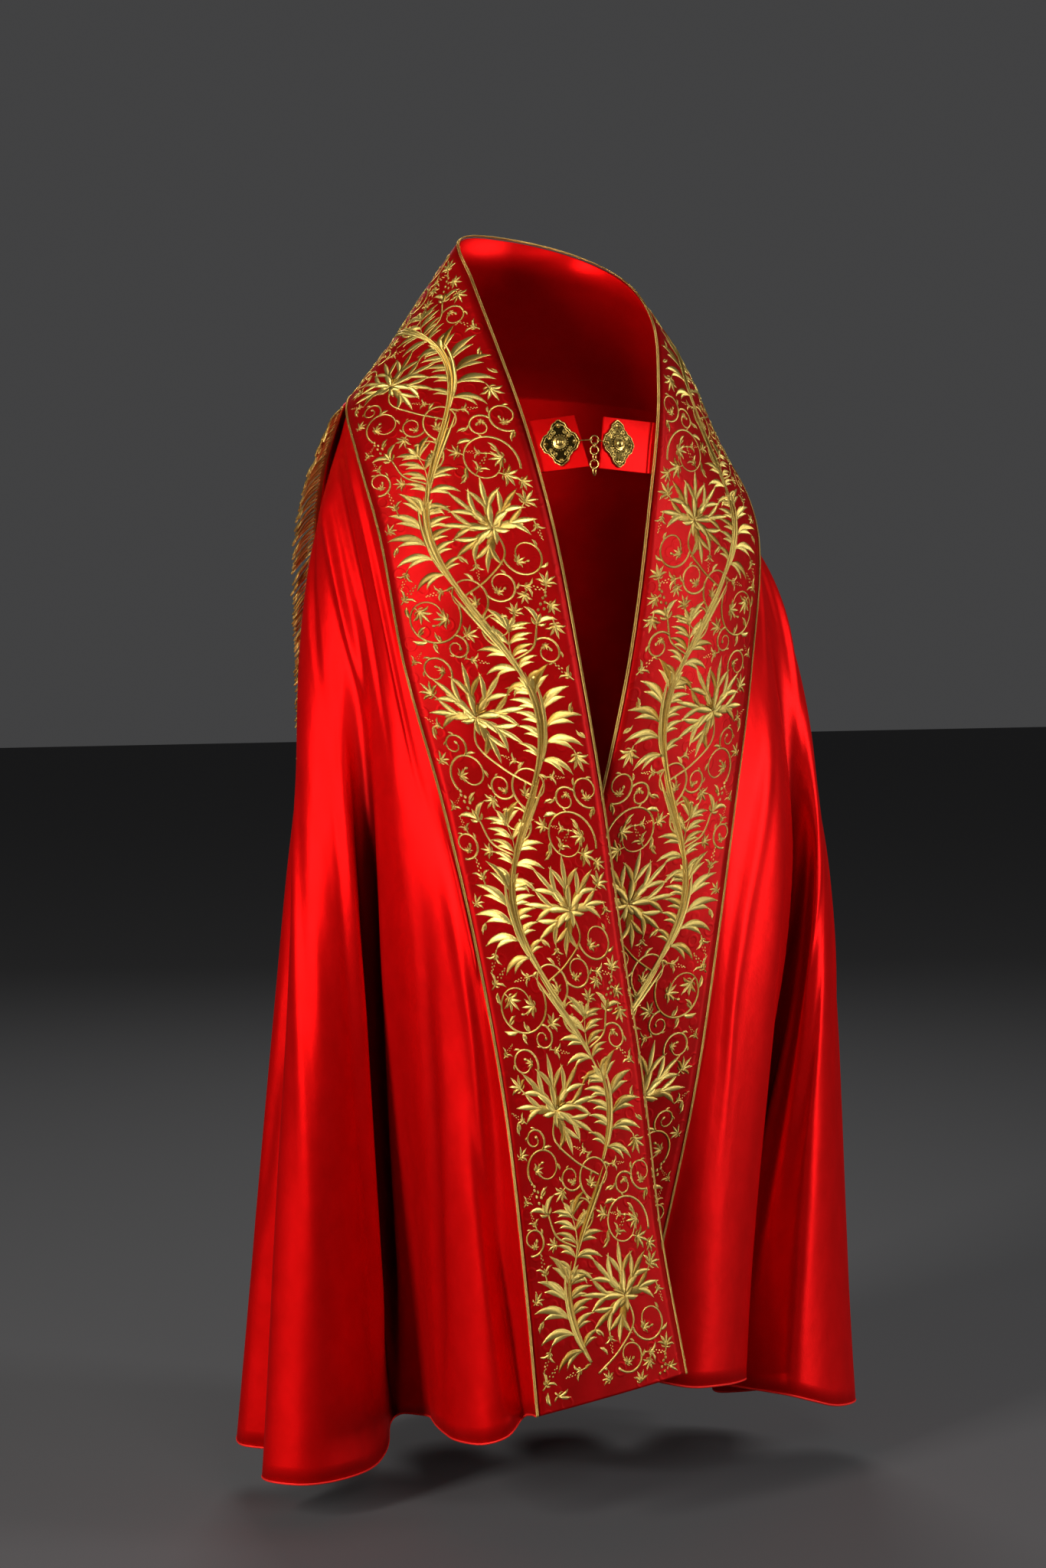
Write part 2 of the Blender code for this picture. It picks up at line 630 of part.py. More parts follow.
def plate_outline():
    """A diamond with four round lobes and small scallops between them."""
    outline = []
    for i in range(PLATE_SIDES):
        a = 2 * math.pi * i / PLATE_SIDES
        r = 1 - LOBE_DEPTH * (1 - math.cos(4 * a)) - SCALLOP_DEPTH * (1 - math.cos(16 * a))
        outline.append((PLATE_HALF_WIDTH * r * math.cos(a), PLATE_HALF_HEIGHT * r * math.sin(a)))
    return outline


def make_plate(side_name, at):
    """A metal plate on the tab, and the stepped boss at its middle."""
    curve = bpy.data.curves.new("clasp_plate_" + side_name, "CURVE")
    curve.dimensions = "2D"
    curve.fill_mode = "BOTH"
    curve.extrude = PLATE_WALL / 2
    edge = curve.splines.new("POLY")
    outline = plate_outline()
    edge.points.add(len(outline) - 1)
    for point, (x, y) in zip(edge.points, outline):
        point.co = (x, y, 0, 1)
    edge.use_cyclic_u = True
    plate = bpy.data.objects.new("clasp_plate_" + side_name, curve)
    bpy.context.scene.collection.objects.link(plate)
    plate.matrix_world = at @ Matrix.Translation((0, 0, GAP + PLATE_WALL / 2))
    place(plate, "antique_gold", ANTIQUE_GOLD)

    mesh = bpy.data.meshes.new("clasp_boss_" + side_name)
    turned = bmesh.new()
    corners = [turned.verts.new((x * BOSS_RADIUS, 0, z * BOSS_HEIGHT)) for x, z in BOSS_PROFILE]
    for a, b in zip(corners, corners[1:]):
        turned.edges.new((a, b))
    turned.to_mesh(mesh)
    turned.free()
    boss = bpy.data.objects.new("clasp_boss_" + side_name, mesh)
    bpy.context.scene.collection.objects.link(boss)
    screw = boss.modifiers.new("turn", "SCREW")
    screw.steps = screw.render_steps = 16
    screw.use_merge_vertices = True
    screw.merge_threshold = 0.00001
    boss.matrix_world = at @ Matrix.Translation((0, 0, 1.5 * GAP + PLATE_WALL))
    place(boss, "antique_gold", ANTIQUE_GOLD)


def make_ring(name, centre, radius, turn):
    """A wire ring whose own axis is Z before it is turned."""
    bpy.ops.mesh.primitive_torus_add(
        major_segments=RING_SEGMENTS, minor_segments=RING_SIDES, major_radius=radius, minor_radius=WIRE_RADIUS
    )
    ring = bpy.context.object
    ring.name = name
    ring.matrix_world = Matrix.Translation(centre) @ turn
    ring.data.shade_smooth()
    return place(ring, "antique_gold", ANTIQUE_GOLD)


def make_hold(name, corner, ring_side, radius, last_angle):
    """A wire from a plate's corner round the clasp ring's wire, and back to it where last_angle is 180."""
    ahead = (ring_side - corner).normalized()
    forward = Vector((0, -1, 0)) - ahead * -ahead.y
    forward.normalize()
    reach = radius + WIRE_RADIUS + RING_GAP
    angles = [math.radians(a) for a in range(0, last_angle + 1, HOLD_STEP)]
    bend = [ring_side + ahead * reach * math.sin(a) + forward * reach * math.cos(a) for a in angles]
    route = [corner + ahead * 2 * GAP + forward * reach, *bend]
    if last_angle == 180:
        route.append(corner + ahead * 2 * GAP - forward * reach)
    wire(name, route, radius, "antique_gold", ANTIQUE_GOLD)


def make_clasp_links(places):
    """The ring between the plates, the hook and the eye that hold it, and the tail that hangs from it."""
    centre = Vector(CLASP_RING_CENTRE)
    front = Matrix.Rotation(math.pi / 2, 4, "X")
    side = Matrix.Rotation(math.pi / 2, 4, "Y")
    make_ring("clasp_ring", centre, CLASP_RING_RADIUS, front)
    across = Vector((CLASP_RING_RADIUS, 0, 0))
    middle = GAP + PLATE_WALL / 2
    right_corner = places["right"] @ Vector((PLATE_HALF_WIDTH, 0, middle))
    left_corner = places["left"] @ Vector((-PLATE_HALF_WIDTH, 0, middle))
    make_hold("clasp_hook", right_corner, centre - across, WIRE_RADIUS, HOOK_ANGLE)
    make_hold("clasp_eye", left_corner, centre + across, EYE_WIRE_RADIUS, 180)
    hang = centre - Vector((0, 0, CLASP_RING_RADIUS))
    step = TAIL_LINK_RADIUS - 2 * WIRE_RADIUS - RING_GAP
    link = hang - Vector((0, 0, step))
    make_ring("tail_link", link, TAIL_LINK_RADIUS, side)
    hang = link - Vector((0, 0, TAIL_LINK_RADIUS))
    for i in range(TAIL_RINGS):
        step = TAIL_RING_RADIUS - 2 * WIRE_RADIUS - RING_GAP
        at = hang - Vector((0, 0, step))
        slant = Matrix.Rotation(math.radians(45 if i % 2 else -45), 4, "Z")
        make_ring(f"tail_ring_{i + 1}", at, TAIL_RING_RADIUS, slant @ front)
        hang = at - Vector((0, 0, TAIL_RING_RADIUS))


def clear_scene():
    for obj in list(bpy.data.objects):
        bpy.data.objects.remove(obj, do_unlink=True)


def main():
    clear_scene()
    grid, ends = mantle_grid()
    band = band_grid(ends)
    stations = band_stations(ends)
    make_mantle(grid, band)
    middle = len(band) // 2
    make_band("orphrey_right", band, 0, middle)
    make_band("orphrey_left", band, middle, len(band))
    make_cords(band, grid)
    hood = hood_grid()
    cloth_object(
        "hood", hood.reshape(-1, 3), grid_faces(*hood.shape[:2]), HOOD_WALL, 1, "satin", SATIN
    )
    make_fringe(hood)
    places = {}
    for side_name in ("right", "left"):
        places[side_name] = make_tab(band, stations, side_name)
        make_plate(side_name, places[side_name])
    make_clasp_links(places)


main()
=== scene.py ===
# %% [markdown]
# A cope is a half circle of satin, worn like a cloak and open in front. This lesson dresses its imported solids:
# smooth satin, raised gold embroidery, twisted cords, a bullion fringe and an openwork clasp.
# The solids are loaded first, and each dressed piece then stands exactly where they do.

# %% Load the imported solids
import json
import math

import bpy
import numpy as np
from mathutils import Matrix, Vector

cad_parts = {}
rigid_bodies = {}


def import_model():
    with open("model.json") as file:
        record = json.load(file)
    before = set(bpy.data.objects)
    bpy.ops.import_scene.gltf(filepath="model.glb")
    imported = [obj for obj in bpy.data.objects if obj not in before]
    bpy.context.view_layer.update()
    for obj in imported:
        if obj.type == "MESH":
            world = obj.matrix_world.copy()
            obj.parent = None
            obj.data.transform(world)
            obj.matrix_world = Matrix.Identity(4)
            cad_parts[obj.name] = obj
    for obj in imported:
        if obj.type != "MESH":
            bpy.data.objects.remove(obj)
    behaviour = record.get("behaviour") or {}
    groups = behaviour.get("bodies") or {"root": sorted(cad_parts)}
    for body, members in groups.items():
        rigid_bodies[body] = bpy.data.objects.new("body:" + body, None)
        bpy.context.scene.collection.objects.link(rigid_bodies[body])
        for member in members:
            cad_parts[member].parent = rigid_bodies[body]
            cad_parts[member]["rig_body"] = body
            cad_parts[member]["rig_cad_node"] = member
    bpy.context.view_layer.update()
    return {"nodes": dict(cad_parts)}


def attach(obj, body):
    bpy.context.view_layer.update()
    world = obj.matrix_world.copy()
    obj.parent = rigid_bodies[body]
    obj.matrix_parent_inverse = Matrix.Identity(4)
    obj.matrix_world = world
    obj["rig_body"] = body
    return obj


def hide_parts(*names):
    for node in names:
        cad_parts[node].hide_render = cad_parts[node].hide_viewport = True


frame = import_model()

# %% [markdown]
# The cloth is described by its flat cut, as a maker would chalk it: `s` runs along the straight edge from the middle
# of the back neck, and `t` runs into the cloth. A few named stations and folds give the worn form, and smooth
# curves run through them, so every piece that lies on the cloth can be placed by its own chalk marks.

# %% Sizes of the cut and the worn form
CUT_RADIUS, BAND_WIDTH, SHOULDER_S = 1.57, 0.22, 0.27
SEAM_RADIUS = math.hypot(SHOULDER_S, BAND_WIDTH)
SHOULDER_RADIUS, WAIST_RADIUS = 0.50, 0.85
FOLD_START_RADIUS, FOLD_GROWTH = 0.42, 1.2
SEAM_BLEND, HEM_WINDOW, GAP = 0.10, math.radians(20), 0.0006
ROWS, COLUMNS, ROW_GROWTH, CHORD_REACH = 15, 84, 1.4, 0.43
CALM_FROM, CALM_TO, CALM_ROUNDS, CALM_SHARE, CALM_SAMPLES = 0.44, 0.95, 6, 0.8, 21
EDGE_END = math.sqrt(CUT_RADIUS**2 - BAND_WIDTH**2)
BACK_NECK, STATION_STEP, LEAST_TOP = 11, 0.01, 0.1
BAND_STATIONS = (
    # name, inner x, y, z, outer x, y, z, bulge
    ("right hem", 0.094, -0.226, -1.262, -0.122, -0.252, -1.285, 0.004),
    ("right shin", 0.063, -0.217, -1.088, -0.135, -0.240, -1.100, 0.006),
    ("right knee", 0.038, -0.216, -0.896, -0.152, -0.222, -0.905, 0.008),
    ("right thigh", 0.012, -0.212, -0.730, -0.174, -0.196, -0.735, 0.010),
    ("right hip", -0.012, -0.204, -0.545, -0.200, -0.148, -0.550, 0.012),
    ("right waist", -0.033, -0.189, -0.394, -0.225, -0.100, -0.400, 0.016),
    ("right chest", -0.059, -0.155, -0.204, -0.236, -0.042, -0.230, 0.018),
    ("right clasp", -0.075, -0.114, -0.091, -0.238, 0.022, -0.135, 0.018),
    ("right collar front", -0.083, -0.055, 0.000, -0.224, 0.092, -0.075, 0.018),
    ("right collar side", -0.088, 0.008, 0.085, -0.186, 0.148, -0.050, 0.016),
    ("right collar corner", -0.080, 0.066, 0.140, -0.120, 0.196, -0.035, 0.010),
    ("back neck", 0.008, 0.105, 0.150, 0.008, 0.218, -0.038, 0.006),
    ("left collar corner", 0.090, 0.080, 0.130, 0.124, 0.200, -0.043, 0.010),
    ("left collar side", 0.124, 0.022, 0.098, 0.208, 0.152, -0.055, 0.016),
    ("left collar front", 0.128, -0.050, 0.048, 0.246, 0.085, -0.075, 0.018),
    ("left clasp", 0.101, -0.129, -0.054, 0.262, 0.000, -0.125, 0.016),
    ("left chest", 0.069, -0.165, -0.212, 0.272, -0.075, -0.225, 0.014),
    ("left waist", 0.032, -0.186, -0.395, 0.238, -0.122, -0.400, 0.016),
    ("left hip", -0.003, -0.186, -0.546, 0.203, -0.150, -0.553, 0.012),
    ("left thigh", -0.050, -0.178, -0.730, 0.165, -0.172, -0.735, 0.008),
    ("left knee", -0.080, -0.170, -0.900, 0.134, -0.178, -0.905, 0.006),
    ("left shin", -0.120, -0.150, -1.095, 0.093, -0.170, -1.100, 0.004),
    ("left hem", -0.145, -0.125, -1.270, 0.058, -0.150, -1.278, 0.002),
)
SHOULDER_RING = (
    ("right side", 45, -0.276, 0.118, -0.230),
    ("right back", 65, -0.175, 0.205, -0.280),
    ("back", 90, 0.015, 0.232, -0.320),
    ("left back", 115, 0.200, 0.200, -0.285),
    ("left side", 133, 0.334, 0.100, -0.245),
    ("left front", 145, 0.341, 0.014, -0.230),
)
WAIST_RING = (
    ("right front", 28, -0.262, -0.088, -0.565),
    ("right side", 45, -0.308, 0.012, -0.580),
    ("right back", 64, -0.238, 0.155, -0.595),
    ("back", 90, 0.015, 0.262, -0.610),
    ("left back", 116, 0.290, 0.190, -0.600),
    ("left side", 136, 0.394, 0.036, -0.580),
    ("left front", 153, 0.343, -0.092, -0.565),
)

HEM = (
    # name, x, y, z
    ("beside the right band", -0.104, -0.170, -1.312),
    ("first fold, front", -0.138, -0.190, -1.330),
    ("first fold, crest", -0.172, -0.145, -1.337),
    ("first fold, wall", -0.168, -0.062, -1.340),
    ("first valley, wall", -0.142, 0.045, -1.355),
    ("first valley, floor", -0.156, 0.112, -1.372),
    ("second fold, wall", -0.188, 0.054, -1.395),
    ("second fold, front", -0.262, -0.024, -1.400),
    ("second fold, crest", -0.335, -0.036, -1.400),
    ("second fold, side", -0.374, 0.008, -1.400),
    ("second valley", -0.300, 0.092, -1.398),
    ("third fold, crest", -0.354, 0.158, -1.395),
    ("third fold, back", -0.318, 0.215, -1.390),
    ("third valley", -0.226, 0.170, -1.385),
    ("fourth fold, crest", -0.232, 0.272, -1.380),
    ("fourth fold, back", -0.165, 0.300, -1.378),
    ("fourth valley", -0.104, 0.196, -1.375),
    ("fifth fold, crest", -0.060, 0.300, -1.372),
    ("fifth fold, back", 0.012, 0.316, -1.370),
    ("fifth valley", 0.048, 0.206, -1.370),
    ("sixth fold, crest", 0.108, 0.308, -1.372),
    ("sixth fold, back", 0.184, 0.290, -1.375),
    ("sixth valley", 0.196, 0.178, -1.378),
    ("seventh fold, crest", 0.300, 0.238, -1.380),
    ("seventh fold, back", 0.372, 0.186, -1.382),
    ("seventh valley", 0.306, 0.090, -1.384),
    ("eighth fold, back", 0.432, 0.062, -1.386),
    ("eighth fold, crest", 0.460, -0.014, -1.384),
    ("eighth fold, front", 0.384, -0.092, -1.368),
    ("eighth fold, edge", 0.308, -0.110, -1.342),
    ("eighth fold, wall", 0.274, -0.036, -1.345),
    ("eighth valley", 0.247, 0.042, -1.352),
    ("ninth fold, wall", 0.222, -0.030, -1.335),
    ("ninth fold, edge", 0.242, -0.110, -1.312),
    ("ninth fold, crest", 0.186, -0.168, -1.300),
    ("ninth fold, front", 0.110, -0.188, -1.290),
)

# %% Curves through the stations
def spline(knots, values, at):
    """A smooth curve through values at their knots, read at the places asked for."""
    knots, values, at = np.asarray(knots, float), np.asarray(values, float), np.asarray(at, float)
    slopes = np.gradient(values, knots, axis=0)
    cell = np.clip(np.searchsorted(knots, at, side="right") - 1, 0, len(knots) - 2)
    span = (knots[cell + 1] - knots[cell])[..., None]
    f = np.clip((at - knots[cell])[..., None] / span, 0, 1)
    a, b = values[cell], values[cell + 1]
    return (
        (2 * f**3 - 3 * f**2 + 1) * a
        + (f**3 - 2 * f**2 + f) * span * slopes[cell]
        + (3 * f**2 - 2 * f**3) * b
        + (f**3 - f**2) * span * slopes[cell + 1]
    )


def ease(f):
    """A soft step from 0 to 1."""
    f = np.clip(f, 0, 1)
    return f * f * (3 - 2 * f)


def unit(vectors):
    return vectors / np.linalg.norm(vectors, axis=-1, keepdims=True)


def ray(angle):
    """The way that an angle points on the flat cut."""
    return np.array([math.cos(angle), math.sin(angle)])


def rays(angles):
    """The same for many angles at once."""
    return np.stack([np.cos(angles), np.sin(angles)], axis=1)


def lengths_along(points):
    """The length run through from a line's first point to each of its points."""
    return np.concatenate([[0], np.cumsum(np.linalg.norm(np.diff(points, axis=0), axis=1))])


def station_knots():
    """The place of each band station along the straight edge of the cut, from its inner edge's length."""
    length = lengths_along(np.array([row[1:4] for row in BAND_STATIONS]))
    length -= length[BACK_NECK]
    return np.where(length < 0, length / -length[0], length / length[-1]) * EDGE_END


STATION_KNOTS = station_knots()
STATION_VALUES = np.array([row[1:] for row in BAND_STATIONS])


def band_points(s, t):
    """Points of the band's own strip at s along the edge and t into the cloth."""
    s, t = np.broadcast_arrays(np.asarray(s, float), np.asarray(t, float))
    places = -s, np.minimum(-s + STATION_STEP, STATION_KNOTS[-1]), np.maximum(-s - STATION_STEP, STATION_KNOTS[0])
    near, ahead, behind = (spline(STATION_KNOTS, STATION_VALUES, at) for at in places)
    inner, outer, bulge = near[..., :3], near[..., 3:6], near[..., 6:]
    along = ahead[..., :3] + ahead[..., 3:6] - behind[..., :3] - behind[..., 3:6]
    outward = unit(np.cross(along, outer - inner))
    f = (t / BAND_WIDTH)[..., None]
    return inner + (outer - inner) * f + outward * bulge * 4 * f * (1 - f)


def seam_angle(radius):
    """The angle in the cut at which a ring of this radius meets the band's outer edge."""
    return np.arcsin(BAND_WIDTH / radius)


def seam_points(radius, side):
    """The band's outer edge at this radius, on the right (side 1) or the left (side -1)."""
    return band_points(side * np.sqrt(np.maximum(radius**2 - BAND_WIDTH**2, 0)), BAND_WIDTH)


def ring_points(table, radius, angle):
    """A smooth ring from seam to seam through the table's rows."""
    first = float(seam_angle(radius))
    knots = np.concatenate([[first], [math.radians(row[1]) for row in table], [math.pi - first]])
    rows = [seam_points(radius, 1)] + [row[2:] for row in table] + [seam_points(radius, -1)]
    return spline(knots, np.array(rows, float), np.clip(angle, first, math.pi - first))


def hem_curve():
    """Knots in angle and the points of the hem, seam to seam, spaced as their lengths are."""
    rows = [seam_points(CUT_RADIUS, 1)] + [row[1:] for row in HEM] + [seam_points(CUT_RADIUS, -1)]
    points = np.array(rows, float)
    lengths = lengths_along(points)
    first = float(seam_angle(CUT_RADIUS))
    return first + lengths / lengths[-1] * (math.pi - 2 * first), points


HEM_KNOTS, HEM_POINTS = hem_curve()


def hem_points(angle):
    """The folded hem at these angles of the cut."""
    return spline(HEM_KNOTS, HEM_POINTS, np.clip(angle, HEM_KNOTS[0], HEM_KNOTS[-1]))


def calm_hem_points(angle):
    """The hem with its folds averaged away."""
    reach = np.minimum(HEM_WINDOW, np.minimum(angle - HEM_KNOTS[0], HEM_KNOTS[-1] - angle))
    shifts = np.linspace(-1, 1, CALM_SAMPLES)
    weights = 1 + np.cos(np.pi * shifts)
    total = sum(w * hem_points(angle + np.maximum(reach, 0) * shift) for w, shift in zip(weights, shifts))
    return total / weights.sum()


def fold_amount(radius):
    """How much of the hem's folds is left at this radius: none near the shoulders, all at the hem."""
    return np.clip((radius - FOLD_START_RADIUS) / (CUT_RADIUS - FOLD_START_RADIUS), 0, 1) ** FOLD_GROWTH


def loose_points(angle, radius, folds=1.0):
    """The cloth outside the band before it is drawn to the band's edge."""
    angle, radius = np.broadcast_arrays(np.asarray(angle, float), np.asarray(radius, float))
    flat_angle, flat_radius = angle.ravel(), radius.ravel()
    shoulder = ring_points(SHOULDER_RING, SHOULDER_RADIUS, flat_angle)
    waist = ring_points(WAIST_RING, WAIST_RADIUS, flat_angle)
    calm = calm_hem_points(flat_angle)
    start = BAND_WIDTH / np.sin(flat_angle)
    top = band_points(np.clip(BAND_WIDTH / np.tan(flat_angle), -SHOULDER_S, SHOULDER_S), BAND_WIDTH)
    out = np.empty((len(flat_angle), 3))
    for i, at in enumerate(flat_radius):
        knots, rows = [SHOULDER_RADIUS, WAIST_RADIUS, CUT_RADIUS], [shoulder[i], waist[i], calm[i]]
        if start[i] < SHOULDER_RADIUS - LEAST_TOP:
            knots, rows = [start[i]] + knots, [top[i]] + rows
        out[i] = spline(knots, rows, np.array([at]))[0]
    out += (hem_points(flat_angle) - calm) * (folds * fold_amount(flat_radius))[:, None]
    return out.reshape(angle.shape + (3,))


def mantle_points(angle, radius, folds=1.0):
    """Points of the mantle outside the band, which meet the band's outer edge on both sides."""
    angle, radius = np.broadcast_arrays(np.asarray(angle, float), np.asarray(radius, float))
    points = loose_points(angle, radius, folds)
    first = seam_angle(np.maximum(radius, BAND_WIDTH + 1e-9))
    for side in (1, -1):
        edge = first if side == 1 else math.pi - first
        miss = seam_points(radius, side) - loose_points(edge, radius, folds)
        near = 1 - ease((angle - edge) * side * radius / SEAM_BLEND)
        shown = np.where(radius > SEAM_RADIUS - GAP, near, 0)
        points = points + miss * shown[..., None]
    return points


def mantle_grid():
    """The mantle outside the band at the solid's own rows and columns, with its chalk marks on the flat cut."""
    ends = SHOULDER_S + (EDGE_END - SHOULDER_S) * np.linspace(0, 1, ROWS + 1) ** ROW_GROWTH
    rows, marks = [], []
    for k, s in enumerate(ends):
        radius = math.hypot(s, BAND_WIDTH)
        first = float(seam_angle(radius))
        angle = np.linspace(first, math.pi - first, COLUMNS + 1)
        chord = max(0.0, 1 - (s - SHOULDER_S) / CHORD_REACH) ** 2
        at = chord * BAND_WIDTH / np.sin(angle) + (1 - chord) * radius
        marks.append(at[:, None] * rays(angle))
        if k == 0:
            rows.append(band_points(BAND_WIDTH / np.tan(angle), BAND_WIDTH))
        else:
            row = mantle_points(angle, at)
            row[0], row[-1] = seam_points(radius, 1), seam_points(radius, -1)
            rows.append(row)
    grid = np.array(rows)
    share = CALM_SHARE * (1 - ease((ends[1:-1] - CALM_FROM) / (CALM_TO - CALM_FROM)))[:, None, None]
    for _ in range(CALM_ROUNDS):
        middle = (grid[:-2, 1:-1] + grid[2:, 1:-1] + grid[1:-1, :-2] + grid[1:-1, 2:]) / 4
        grid[1:-1, 1:-1] += (middle - grid[1:-1, 1:-1]) * share
    return grid, np.array(marks)


def grid_normals(grid):
    """Outward normals of a grid whose first index runs to the wearer's left and second into the cloth."""
    return unit(np.cross(np.gradient(grid, axis=0), np.gradient(grid, axis=1)))


coarse, coarse_cut = mantle_grid()
print("cloth rows and columns:", coarse.shape[:2])

# %% [markdown]
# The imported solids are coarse, to be light. The shown cloth runs through the very same points, with many more rows
# and columns between them, and keeps its chalk marks so that creases and weave can be laid on the flat cut.

# %% A finer cloth through the same points
FINE_ROWS, FINE_COLUMNS = 91, 421
SURFACE_STEP = 0.002


def refine(grid, rows, columns):
    """Reads a grid again at more rows and columns, smoothly."""
    for count in (rows, columns):
        at = np.linspace(0, len(grid) - 1, count)
        read = spline(np.arange(len(grid)), grid.reshape(len(grid), -1), at)
        grid = np.swapaxes(read.reshape((count,) + grid.shape[1:]), 0, 1)
    return grid


def point_numbers(points, closed=False):
    """The numbers of a grid's points, with the first column again at the end where the grid closes on itself."""
    index = np.arange(points[..., 0].size).reshape(points.shape[:2])
    return np.concatenate([index, index[:, :1]], axis=1) if closed else index


def quads(index):
    """Faces over a grid of point numbers. The first index runs to the wearer's left, the second into the cloth."""
    corners = index[:-1, :-1], index[1:, :-1], index[1:, 1:], index[:-1, 1:]
    return np.stack(corners, axis=-1).reshape(-1, 4)


def band_surface(s, t, lift):
    """Points this far above the band's own strip."""
    s, t, lift = np.broadcast_arrays(*(np.asarray(v, float) for v in (s, t, lift)))
    left = band_points(s - SURFACE_STEP, t) - band_points(s + SURFACE_STEP, t)
    into = band_points(s, t + SURFACE_STEP) - band_points(s, t - SURFACE_STEP)
    return band_points(s, t) + unit(np.cross(left, into)) * lift[..., None]


# %% [markdown]
# Cloth also has creases that are too fine for the solid. Each is a chalk line on the flat cut with its own width and
# height, soft at its ends. Those beside the bands start at the shoulders, where the bands' weight pulls; the back has
# a few shallow ones, uneven in length and spacing, because the photograph doesn't show it.

# %% Creases on the flat cut
CREASES = (
    # from s, t, to s, t, half width, height
    (0.272, 0.236, 0.900, 0.262, 0.013, 0.0065),
    (0.280, 0.262, 0.760, 0.322, 0.014, -0.0060),
    (0.286, 0.288, 0.700, 0.372, 0.016, 0.0080),
    (0.300, 0.330, 0.560, 0.440, 0.020, -0.0060),
    (0.900, 0.262, 1.430, 0.330, 0.018, 0.0040),
    (0.520, 0.560, 0.980, 0.900, 0.022, 0.0040),
    (0.620, 0.820, 0.800, 1.180, 0.024, -0.0040),
    (-0.272, 0.238, -0.720, 0.268, 0.013, 0.0055),
    (-0.285, 0.270, -0.600, 0.330, 0.015, -0.0050),
    (-0.300, 0.300, -0.660, 0.390, 0.017, 0.0060),
    (-0.700, 0.270, -1.380, 0.300, 0.018, 0.0035),
    (-0.560, 0.520, -0.960, 0.780, 0.022, 0.0040),
    (-0.480, 0.700, -0.760, 1.080, 0.024, -0.0045),
    (0.060, 0.860, 0.020, 1.380, 0.024, 0.0040),
    (-0.160, 0.900, -0.240, 1.300, 0.022, -0.0040),
    (0.240, 0.840, 0.360, 1.240, 0.026, 0.0045),
    (-0.300, 0.860, -0.420, 1.200, 0.020, 0.0035),
)
DEEPEST_FOLD, HEM_REACH, CREASE_FADE = 0.021, 0.02, 0.012
FOLD_RUNS = (
    # knot of the hem, from radius, to radius, half width, height
    (6.0, 1.565, 0.560, 0.040, -0.0280),
    (7.2, 1.565, 0.600, 0.045, 0.0120),
    (3.5, 1.540, 0.900, 0.040, -0.0070),
    (32.0, 1.565, 0.560, 0.040, -0.0280),
    (30.8, 1.565, 0.600, 0.045, 0.0120),
)


def fold_run_rows():
    """The fold runs as rows of the crease table: each runs from the hem towards the back of the neck."""
    for knot, low, high, half_width, lift in FOLD_RUNS:
        aim = ray(np.interp(knot, np.arange(len(HEM_KNOTS)), HEM_KNOTS))
        yield (*(aim * low), *(aim * high), half_width, lift)


def crease_rows(rows, cut, begins, ends):
    """Each crease's lift and start, with its softness at the beginning, at the end and across, at every mark."""
    for from_s, from_t, to_s, to_t, half_width, lift in rows:
        start, run = np.array([from_s, from_t]), np.array([to_s - from_s, to_t - from_t])
        f = np.clip(((cut - start) @ run) / (run @ run), 0, 1)
        away = np.linalg.norm(cut - start - f[..., None] * run, axis=-1)
        yield lift, start, ease(f * begins), ease((1 - f) * ends), 1 - ease(away / half_width)


def crease_height(cut):
    """How far the creases lift or sink the cloth at these chalk marks, and how deep in the folds they lie, which is
    painted as shade.
    """
    height, depth = np.zeros(cut.shape[:-1]), np.zeros(cut.shape[:-1])
    for lift, start, begin, end, across in crease_rows((*CREASES, *fold_run_rows()), cut, 5, 2):
        height += lift * begin * end * across
        # Sunken creases are also painted dark as shade, the deeper the darker; those that start at the hem keep it
        # down to the hem.
        if lift < 0:
            from_hem = float(np.linalg.norm(start) > CUT_RADIUS - HEM_REACH)
            depth += -lift / DEEPEST_FOLD * np.maximum(begin, from_hem) * end * across
    return height, np.clip(depth, 0, 1)


fine = np.swapaxes(refine(coarse, FINE_ROWS, FINE_COLUMNS), 0, 1)
cut = np.swapaxes(refine(coarse_cut, FINE_ROWS, FINE_COLUMNS), 0, 1)
for column, side in ((0, 1), (-1, -1)):
    fine[column] = seam_points(np.linalg.norm(cut[column], axis=-1), side)
fine[:, 0] = band_points(cut[:, 0, 0], BAND_WIDTH)
from_edge = cut[..., 1] - BAND_WIDTH
crease_lift, fold_shade_mask = crease_height(cut)
fine += grid_normals(fine) * (crease_lift * ease(from_edge / CREASE_FADE))[..., None]
print("shown cloth:", fine.shape[:2])

# %% [markdown]
# Many pieces here are woven or twisted from hundreds of small shapes, so three helpers do the handwork: one gathers
# points and faces, one sweeps a round wire along a path, and one turns what was gathered into a finished piece.

